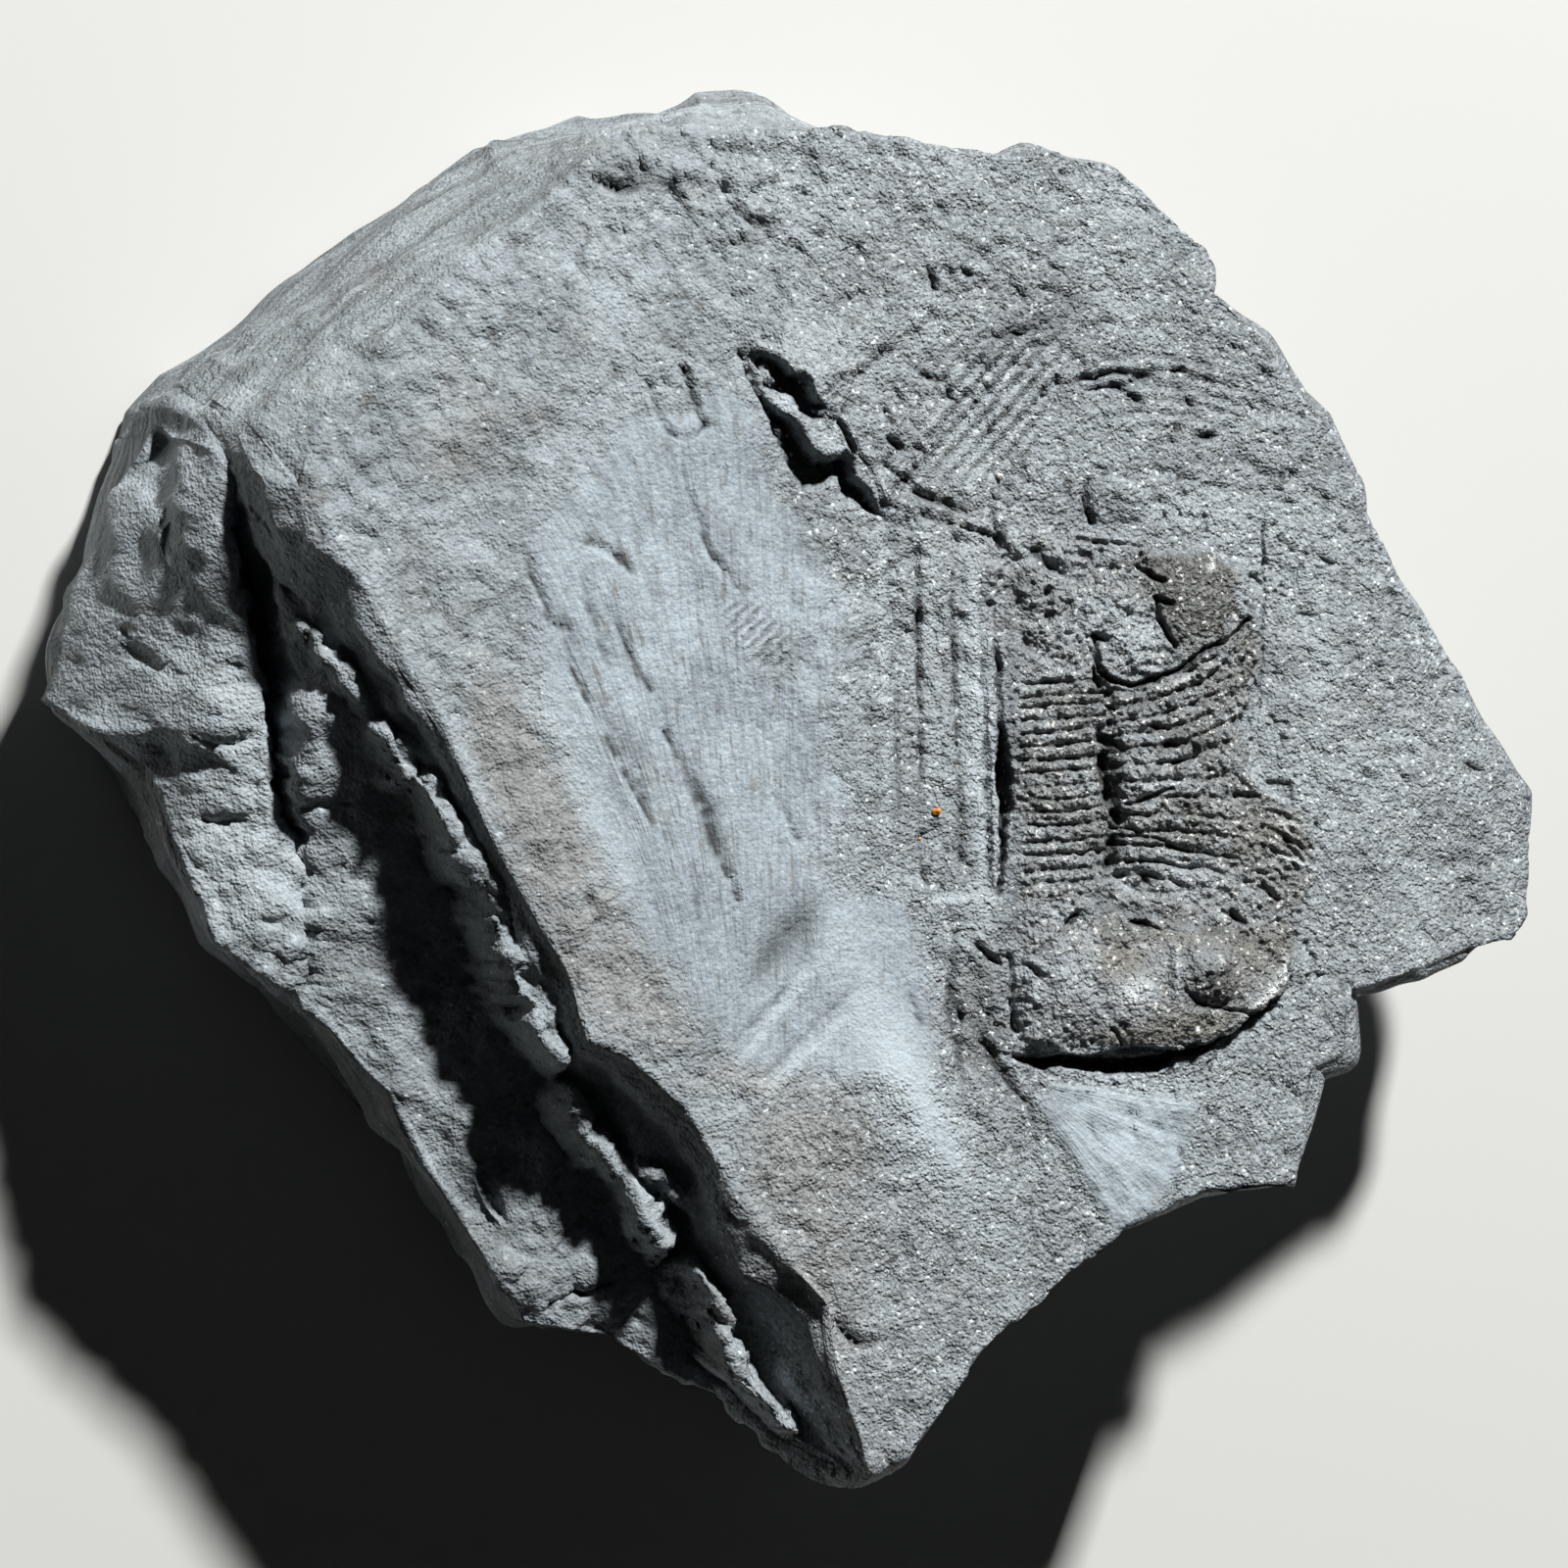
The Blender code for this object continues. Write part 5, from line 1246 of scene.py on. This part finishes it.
# %% Fossil grid
FOSSIL_ROWS, FOSSIL_COLUMNS = 390, 240
LIFT, RIM_DIP, RIM_WIDTH = 0.02, 0.12, 0.3
margin = np.array(MARGIN)[::-1]
row_y = np.linspace(MARGIN[0][0], MARGIN[-1][0], FOSSIL_ROWS + 1)
left, right = (np.interp(row_y, margin[:, 0], margin[:, k]) for k in (1, 2))
across = np.linspace(0.0, 1.0, FOSSIL_COLUMNS + 1)[None, :]
fx = left[:, None] * (1 - across) + right[:, None] * across
fy = np.repeat(row_y[:, None], FOSSIL_COLUMNS + 1, axis=1)

sideways = np.minimum(fx - left[:, None], right[:, None] - fx)
edge = np.minimum(sideways, np.minimum(row_y[0] - fy, fy - row_y[-1]))
ragged_x, ragged_y = shaken(fx, fy, 0.24, 66)
soft = np.maximum(smooth((fy + 14.5) / 2.5), smooth((17.5 - fx) / 2.5))
body = inside(ragged_x, ragged_y, BODY, 0.15 + 1.0 * soft)
relief, cap, thorax = fossil_relief(fx, fy)
stone_here = upper_relief(fx, fy)
fz = face_height(fx, fy) + stone_here * (1 - 0.6 * body) + relief * body
fz += LIFT - RIM_DIP * (1.0 - smooth(edge / RIM_WIDTH))
print("fossil stands", round(float((fz - face_height(fx, fy)).max()), 2), "mm above the face")

# %% [markdown]
# The fossil's grid is closed by walls down its rim and a flat underside, all hidden in the pocket. A
# closed piece has an inside and an outside, which the export and any slicer need. The fossil is then
# painted with the stone's numbers, for its margin, and with numbers of its own.

# %% Fossil mesh
UNDER_SIZE, UNDER_GAP = 0.93, 0.1
fossil_top = np.dstack([fx, fy, fz]).reshape(-1, 3)
index = np.arange(fx.size).reshape(fx.shape)
border = border_of(index)
base_points = fossil_top[border].copy()
base_points[:, :2] = about(base_points[:, :2], FOSSIL_MIDDLE, UNDER_SIZE)
base_points[:, 2] = face_height(base_points[:, 0], base_points[:, 1]) - POCKET_DEPTH + UNDER_GAP
every = np.concatenate([fossil_top, base_points, [base_points.mean(axis=0)]])
low = np.arange(len(border)) + fx.size
faces = [grid_quads(index), wall_quads(border, low), closing_fan(low, len(every) - 1)]
fossil = make_piece("trilobite_relief", every, [face for part in faces for face in part.tolist()])
print("fossil triangles", 2 * len(faces[0]) + 2 * len(faces[1]) + len(faces[2]))

# %% Fossil numbers
# a pit or crack of the fossil this deep, in mm, gets full painted shade
FOSSIL_DARK_AT = 0.8
# patches where the shell has flaked off the stone
FLAKED = [(17, 12.4, 3.4, 3.6, 1.1), (14.4, -13, 1.6, 5, 0.8)]


def with_base(values):
    """A grid's values, with a 0 for each point of the hidden base."""
    return np.concatenate([values.ravel(), np.zeros(len(border) + 1)])


# painted shade in the fossil's pits and cracks, and in the stone's cracks on its margin
sunk = marks(ragged_x, ragged_y, PITS) + grooves(ragged_x, ragged_y, FOSSIL_CRACKS)
sunk = body * sunk / FOSSIL_DARK_AT + shade_of_cracks(fx, fy)
paint_face(fossil, every[:, 0], every[:, 1], np.ones(len(every)), with_base(sunk), 0.0)
# painted shade along the crease under the top of the head shield
crease_shade = 0.6 * np.exp(-((follow(ragged_x, ragged_y, HEAD_TOP)[0] / 0.3) ** 2))
patchy = 0.3 * rough(np.stack([fx, fy], -1), 1.6, 3, 69)
ribbed = np.maximum(thorax * ribs(fx, fy), 0.5 * smooth((fx - 27.5) / 3.5))
for name, values in {
    "fossil": body * smooth(1.0 - marks(fx, fy, FLAKED) + patchy), "cap": cap, "thorax": thorax,
    "ribbed": ribbed, "pale": marks(fx, fy, PALE), "olive": marks(fx, fy, OLIVE),
    "fold_shade": marks(fx, fy, FOLD_SHADE) + crease_shade, "painted_highlight": marks(fx, fy, LIT_EDGES),
}.items():
    paint(fossil, name, with_base(values))
print("fossil shows on", round(float(body.mean()) * 100), "% of its piece")

# %% [markdown]
# ## Stray grains of sand
#
# A few loose grains cling to the face, two of them stained orange by iron. They are lumpy balls, pressed
# into the stone by a fifth of their size. A ball is rings of points between two poles, pushed in and
# out by noise.

# %% Stray grains
# (x, y, size)
GRAINS = [(8.7, -1.8, 0.65), (7.6, -3.6, 0.32), (13.7, 20.5, 0.5)]
TURNS, LEVELS = 20, 11
turn = 2.0 * np.pi * np.arange(TURNS) / TURNS
level = np.pi * (np.arange(1, LEVELS) / LEVELS - 0.5)
ring_x, ring_y = (np.outer(np.cos(level), wave(turn)).ravel() for wave in (np.cos, np.sin))
ball = np.column_stack([ring_x, ring_y, np.repeat(np.sin(level), TURNS)])
ball = np.vstack([ball, [[0, 0, -1], [0, 0, 1]]])
grid = np.arange(TURNS * (LEVELS - 1)).reshape(LEVELS - 1, TURNS)
ahead = np.roll(grid, -1, axis=1)
bands = np.stack([grid[:-1], ahead[:-1], ahead[1:], grid[1:]], -1).reshape(-1, 4)
low_cap = np.stack([ahead[0], grid[0], np.full(TURNS, grid.size)], -1)
high_cap = np.stack([grid[-1], ahead[-1], np.full(TURNS, grid.size + 1)], -1)
grain_points, grain_faces = [], []
for k, (x, y, size) in enumerate(GRAINS):
    lumpy = ball * (1.0 + 0.3 * rough(ball + 3.0 * k, 0.9, 3, 91))[:, None]
    top = face_height(x, y) + float(upper_relief(*np.array([[x], [y]]))[0])
    grain_points.append(lumpy * 0.5 * size * (1.0, 0.85, 0.8) + (x, y, top + 0.2 * size))
    for part in (bands, low_cap, high_cap):
        grain_faces += (part + k * len(ball)).tolist()
grains_piece = make_piece("stray_grains", np.concatenate(grain_points), grain_faces)
print("grains", len(GRAINS), "points", len(ball) * len(GRAINS))

# %% [markdown]
# ## Materials
#
# Colours are given as sRGB hex, as a paint chart gives them, and one function turns them to the linear
# values that light adds up in. One small function adds a node with its settings and links, and a few
# more say in one word each what is done over and over: a ramp, a tint, a product, a bump.

# %% Material tools
def colour(code):
    """#rrggbb in sRGB to linear: ((c + 0.055) / 1.055) ^ 2.4 above the dark end, c / 12.92 below."""
    parts = [int(code[k : k + 2], 16) / 255 for k in (1, 3, 5)]
    return (*[c / 12.92 if c < 0.04045 else ((c + 0.055) / 1.055) ** 2.4 for c in parts], 1.0)


def add(tree, kind, inputs=(), **settings):
    """Adds a node. `inputs` pairs a socket with a number, a colour or another node's output."""
    made = tree.nodes.new("ShaderNode" + kind)
    for name, value in settings.items():
        setattr(made, name, value)
    for socket, value in dict(inputs).items():
        if isinstance(value, bpy.types.NodeSocket):
            tree.links.new(value, made.inputs[socket])
        else:
            made.inputs[socket].default_value = value
    return made


def new_material(name):
    """A material with its node tree and the shader that ends it."""
    made = bpy.data.materials.new(name)
    made.use_nodes = True
    return made, made.node_tree, made.node_tree.nodes["Principled BSDF"]


def grains(tree, place, size_mm, detail=2.0):
    """Noise whose lumps are `size_mm` across: the texture's scale is lumps per metre."""
    return add(tree, "TexNoise", {"Vector": place, "Scale": 1000.0 / size_mm, "Detail": detail})


def ramp(tree, value, low, high, to_low=0.0, to_high=1.0):
    """A value stretched from low..high to to_low..to_high and held there beyond."""
    sockets = {0: value, 1: low, 2: high, 3: to_low, 4: to_high}
    return add(tree, "MapRange", sockets).outputs[0]


def mixed(tree, share, first, second):
    """first * (1 - share) + second * share, colour by colour."""
    sockets = {0: share, 6: first, 7: second}
    return add(tree, "Mix", sockets, data_type="RGBA").outputs[2]


def tint(tree, base, value, low, high, most, code):
    """A colour laid over `base`, from none of it at `low` to the share `most` at `high`."""
    return mixed(tree, ramp(tree, value, low, high, 0.0, most), base, colour(code))


def times(tree, first, second):
    """The product of two values."""
    return add(tree, "Math", {0: first, 1: second}, operation="MULTIPLY").outputs[0]


def plus(tree, first, second):
    """The sum of two values."""
    return add(tree, "Math", {0: first, 1: second}, operation="ADD").outputs[0]


def bump(tree, height, strength, deep_mm, under=None):
    """The normal turned by the slope of a height, `deep_mm` from 0 to 1, on top of a normal under it."""
    sockets = {"Height": height, "Strength": strength, "Distance": deep_mm / 1000.0}
    if under is not None:
        sockets["Normal"] = under
    return add(tree, "Bump", sockets).outputs[0]


def attribute(tree, name):
    """The number painted on the mesh under a name, read by the material."""
    return add(tree, "Attribute", attribute_name=name).outputs["Fac"]


def silt_grains(tree, place, size_mm):
    """Close-packed grains: one chance value for each grain, and a dome over it for the bump."""
    cells = add(tree, "TexVoronoi", {"Vector": place, "Scale": 1000.0 / size_mm})
    chance = add(tree, "SeparateColor", {0: cells.outputs["Color"]}).outputs[0]
    return chance, ramp(tree, cells.outputs["Distance"], 0.0, 0.7, 1.0, 0.0)


print("mid grey, #808080, is", round(colour("#808080")[0], 3), "in linear light")

# %% [markdown]
# The shale is split along its beds and weathered dry: a dull stone of clay with grains of silt. To the
# eye its surface is rough and dark with pale specks, and here and there a grain gets a painted glint.
# Where a sheet slid over the slab the stone is smeared smooth, bluer and paler, with a soft sheen drawn
# out along the striae. Where the beds are cut across they show as fine bands. The dull stone and the
# polished one are built first and mixed by the painted `polish`; painted highlights and painted shade
# are laid on top.

# %% Shale
# half widths in metres along y, and the number of noise cells that this stretch of a lane is given
REACH, LONG_CELLS, SHORT_CELLS = 0.05, 6.0, 9.0
# painted light and shade laid over the stone: name, where it begins, greatest share, colour
PAINTED_LIGHT_AND_SHADE = [
    ("crest", 0.0, 0.6, "#b0babf"), ("painted_shade", 0.0, 0.55, "#3a3d3e"), ("crack_shade", 0.1, 0.92, "#0d0c0b"),
]


def lane_noise(tree, lane_at, along_y, cells, scale, detail):
    """Noise over (lane, y drawn out, lane again), so that its lumps are long dashes along a lane."""
    along = ramp(tree, along_y, -REACH, REACH, -cells, cells)
    skewed = add(tree, "Math", {0: lane_at, 1: 0.62, 2: 0.4}, operation="MULTIPLY_ADD").outputs[0]
    drawn_out = add(tree, "CombineXYZ", {0: lane_at, 1: along, 2: skewed}).outputs[0]
    return add(tree, "TexNoise", {"Vector": drawn_out, "Scale": scale, "Detail": detail}).outputs[0]


def shale_look(tree):
    """Colour, roughness and bumped normal of split shale, as three sockets."""
    place = add(tree, "TexCoord").outputs["Object"]
    along_y = add(tree, "SeparateXYZ", {0: place}).outputs[1]
    polish_at, lanes_at, lane_at, calm_at, edge_on = (
        attribute(tree, name) for name in ("polish", "lanes", "lane", "calm", "edge_on")
    )
    tone = grains(tree, place, 6.0, 4.0).outputs[0]
    mottle = grains(tree, place, 1.2, 4.0).outputs[0]
    silt = grains(tree, place, 0.42, 3.0).outputs[0]
    speck, dome = silt_grains(tree, place, 0.24)
    scratch = lane_noise(tree, lane_at, along_y, LONG_CELLS, 2.6, 5.0)
    dash = lane_noise(tree, lane_at, along_y, SHORT_CELLS, 2.2, 2.0)
    flattened = add(tree, "VectorMath", {0: place, 1: (0.1, 0.1, 1.0)}, operation="MULTIPLY").outputs[0]
    bedding = grains(tree, flattened, 1.5, 5.0).outputs[0]

    # the dull fracture: two greys in broad patches, rust, dark mottle, and salt-and-pepper silt
    body = mixed(tree, ramp(tree, tone, 0.38, 0.62), colour("#747c81"), colour("#8e979c"))
    body = tint(tree, body, attribute(tree, "browned"), 0.0, 1.0, 0.6, "#77736c")
    body = tint(tree, body, mottle, 0.44, 0.3, 0.7, "#4c4e4d")
    salt = mixed(tree, speck, colour("#3a3e40"), colour("#b6bcbd"))
    salt = tint(tree, salt, silt, 0.42, 0.32, 0.7, "#1c1c1b")
    dull = mixed(tree, ramp(tree, calm_at, 0.0, 1.0, 0.42, 0.2), body, salt)

    # the polished slab: bluer and more even, with brown dashes along the lanes
    bluish = mixed(tree, ramp(tree, tone, 0.38, 0.62), colour("#88939a"), colour("#9aa5ac"))
    bluish = tint(tree, bluish, mottle, 0.42, 0.3, 0.5, "#717677")
    bluish = mixed(tree, 0.22, bluish, salt)
    bluish = tint(tree, bluish, dash, 0.4, 0.3, 0.6, "#66635d")

    # both together, then the darker striae, the painted highlights and painted shade, and the bands of the
    # cut beds
    stone = mixed(tree, polish_at, dull, bluish)
    streak = times(tree, ramp(tree, scratch, 0.54, 0.34, 0.0, 0.4), lanes_at)
    stone = mixed(tree, streak, stone, colour("#5b6163"))
    for name, start, most, code in PAINTED_LIGHT_AND_SHADE:
        stone = tint(tree, stone, attribute(tree, name), start, 1.0, most, code)
    band = times(tree, ramp(tree, bedding, 0.52, 0.38, 0.0, 0.5), edge_on)
    stone = mixed(tree, band, stone, colour("#4e5152"))

    # one grain in twenty or fewer gets a painted glint: a near-white colour and a lower roughness
    rare = ramp(tree, calm_at, 0.0, 1.0, 0.95, 0.98)
    rare = plus(tree, rare, ramp(tree, polish_at, 0.2, 0.9, 0.0, 0.05))
    painted_glint = ramp(tree, speck, rare, plus(tree, rare, 0.03))

    # three sizes of lumps, weaker on the polished slab, then the striae and the laminae
    tooth = ramp(tree, polish_at, 0.0, 1.0, ramp(tree, calm_at, 0.0, 1.0, 1.0, 0.65), 0.35)
    normal = None
    for height, deep_mm in ((mottle, 0.3), (silt, 0.4), (dome, 0.1)):
        normal = bump(tree, height, tooth, deep_mm, normal)
    normal = bump(tree, scratch, ramp(tree, lanes_at, 0.0, 1.0, 0.0, 0.5), 0.3, normal)
    normal = bump(tree, bedding, edge_on, 1.2, normal)
    return mixed(tree, painted_glint, stone, colour("#bac0c1")), ramp(tree, painted_glint, 0.0, 1.0, 0.8, 0.55), normal


shale, tree, shader = new_material("silty_shale_split")
for socket, value in zip(("Base Color", "Roughness", "Normal"), shale_look(tree)):
    tree.links.new(value, shader.inputs[socket])
block.data.materials.append(shale)
print("shale material, nodes", len(tree.nodes))

# %% [markdown]
# The fossil is the animal's shell, pressed flat and turned to a thin film of carbon and clay. It is
# darker and browner than the shale, and a little smoother, so its ribs take a faint shine from the low
# light. Bits of it are flaked off, and the gaps between the ribs get painted shade, nearly black. At its
# edge the film gives way to the same shale look as the block's, on the margin that goes with the piece.

# %% Fossil material
cuticle, tree, shader = new_material("carbonised_cuticle_pressed")
stone, _, stone_normal = shale_look(tree)
place = add(tree, "TexCoord").outputs["Object"]
tone = grains(tree, place, 3.0, 3.0).outputs[0]
silt = grains(tree, place, 0.36, 3.0).outputs[0]
speck, dome = silt_grains(tree, place, 0.22)
thorax_at = attribute(tree, "thorax")
body = mixed(tree, ramp(tree, tone, 0.38, 0.62), colour("#5c5d5a"), colour("#80868a"))
# painted shade, nearly black, in the gaps between the ribs
gap_shade = times(tree, ramp(tree, attribute(tree, "ribbed"), 0.0, 0.7, 0.8, 0.0), thorax_at)
body = mixed(tree, gap_shade, body, colour("#262521"))
grainy = mixed(tree, speck, colour("#242320"), colour("#b4b8b7"))
grainy = tint(tree, grainy, silt, 0.44, 0.34, 0.8, "#141311")
skin = mixed(tree, ramp(tree, thorax_at, 0.0, 1.0, 0.25, 0.45), body, grainy)
skin = tint(tree, skin, attribute(tree, "pale"), 0.0, 1.0, 0.85, "#979fa3")
skin = tint(tree, skin, attribute(tree, "olive"), 0.0, 1.0, 0.8, "#68655c")
dark_cap = mixed(tree, 0.3, colour("#43433f"), grainy)
skin = mixed(tree, ramp(tree, attribute(tree, "cap"), 0.0, 1.0, 0.0, 0.95), skin, dark_cap)
# painted shade in the folds, pits and creases
skin = tint(tree, skin, attribute(tree, "fold_shade"), 0.0, 1.0, 0.7, "#2b2e30")
# painted glint: a few grains near white
skin = tint(tree, skin, speck, 0.93, 0.97, 0.75, "#d6d5cf")
# painted highlight on fine edges and rims
skin = tint(tree, skin, attribute(tree, "painted_highlight"), 0.0, 1.0, 0.9, "#dfe3e1")
# painted shade in the pits, cracks and gaps
skin = tint(tree, skin, attribute(tree, "crack_shade"), 0.1, 1.0, 0.92, "#0d0c0a")
share = ramp(tree, attribute(tree, "fossil"), 0.1, 0.9)
tree.links.new(mixed(tree, share, stone, skin), shader.inputs["Base Color"])
tree.links.new(ramp(tree, share, 0.0, 1.0, 0.8, 0.62), shader.inputs["Roughness"])
skin_normal = bump(tree, silt, ramp(tree, share, 0.0, 1.0, 0.0, 0.8), 0.3, stone_normal)
tree.links.new(skin_normal, shader.inputs["Normal"])
fossil.data.materials.append(cuticle)
print("shell material, nodes", len(tree.nodes))

# %% [markdown]
# The loose grains are quartz sand rounded by water, two with a skin of iron rust. To the eye they are
# pale or orange beads, smoother than the stone, so the lamp leaves a soft highlight on each.

# %% Grain material
stained, tree, shader = new_material("quartz_sand_iron_stained")
place = add(tree, "TexCoord").outputs["Object"]
patch = grains(tree, place, 0.3).outputs[0]
first = mixed(tree, ramp(tree, patch, 0.4, 0.6), colour("#a8651c"), colour("#e09a35"))
along_y = add(tree, "SeparateXYZ", {0: place}).outputs[1]
# the stained grains lie below y = 10 mm, the clean one beyond it
far = ramp(tree, along_y, 0.01, 0.011)
tree.links.new(mixed(tree, far, first, colour("#c9c2b4")), shader.inputs["Base Color"])
shader.inputs["Roughness"].default_value = 0.45
grains_piece.data.materials.append(stained)
print("materials", sorted(material.name for material in bpy.data.materials))

# %% [markdown]
# ## Frame, floor, light and camera
#
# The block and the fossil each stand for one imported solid, and all three pieces ride on the one body.

# %% Placing
for piece, node, slot in ((block, "matrix", "shale"), (fossil, "trilobite", "cuticle")):
    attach(piece, "root")
    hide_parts(node)
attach(grains_piece, "root")
print("pieces", block.name, fossil.name, grains_piece.name)

# %% [markdown]
# The stone lies on pale matt card. The card only catches the shadows, whose lengths tell how high each
# edge stands, so it is staging and no part of the object.

# %% Floor
SIDE = 1.2
corners = [(-SIDE, -SIDE, 0), (SIDE, -SIDE, 0), (SIDE, SIDE, 0), (-SIDE, SIDE, 0)]
sheet = bpy.data.meshes.new("floor")
sheet.from_pydata(corners, [], [(0, 1, 2, 3)])
floor = bpy.data.objects.new("floor", sheet)
bpy.context.scene.collection.objects.link(floor)
paper, tree, shader = new_material("pale_matt_card")
shader.inputs["Base Color"].default_value = colour("#c6c6c2")
shader.inputs["Roughness"].default_value = 0.9
sheet.materials.append(paper)
print("floor", 2 * SIDE, "m wide")

# %% [markdown]
# A relief of a tenth of a millimetre only shows in light that comes in low. One small lamp from the
# blunt end rakes over the face and throws crisp shadows. A broad weak one from the other side, with a
# faint sky, keeps the shaded walls readable.

# %% Light
# name, direction, distance in metres, side in metres, power in watts
LAMPS = [("key", (0.46, 1.2, 1.0), 1.2, 0.09, 31.5), ("fill", (-0.6, -0.5, 1.2), 1.2, 1.0, 0.06)]
SKY, SKY_STRENGTH = "#e8edf0", 0.013


def lamp(name, direction, distance, size, power):
    """A square soft light that stands off along a direction and looks back at the block."""
    light = bpy.data.lights.new(name, "AREA")
    light.shape = "SQUARE"
    light.size = size
    light.energy = power
    made = bpy.data.objects.new(name, light)
    made.location = Vector(direction).normalized() * distance
    made.rotation_euler = Vector(direction).to_track_quat("Z", "Y").to_euler()
    bpy.context.scene.collection.objects.link(made)


for row in LAMPS:
    lamp(*row)
world = bpy.data.worlds.new("studio")
bpy.context.scene.world = world
world.use_nodes = True
sky = world.node_tree.nodes["Background"].inputs
sky["Color"].default_value = colour(SKY)
sky["Strength"].default_value = SKY_STRENGTH
bpy.context.scene.view_settings.view_transform = "Standard"
print("lamps", [row[0] for row in LAMPS])

# %% [markdown]
# The camera looks almost straight down. It leans to the stepped side, so that the cliff and the terrace
# are seen, and a long lens keeps the block's sides from spreading. It is aimed at the plan's zero
# point, 18 mm up.

# %% Camera
TILT = np.radians(12.5)
DISTANCE, AIM_HEIGHT = 0.390, 0.018
LENS_MM, SENSOR_MM = 134.0, 36.0
aim = Vector((-MIDDLE[0] * MM, -MIDDLE[1] * MM, AIM_HEIGHT))
back = Vector((-np.sin(TILT), 0.0, np.cos(TILT)))
view = bpy.data.cameras.new("camera")
view.lens = LENS_MM
view.sensor_width = SENSOR_MM
view.clip_start = 0.01
camera = bpy.data.objects.new("camera", view)
camera.location = aim + DISTANCE * back
camera.rotation_euler = (0.0, -TILT, 0.0)
bpy.context.scene.collection.objects.link(camera)
bpy.context.scene.camera = camera
print("field of view", round(float(np.degrees(2 * np.arctan(SENSOR_MM / 2 / LENS_MM))), 1), "degrees")
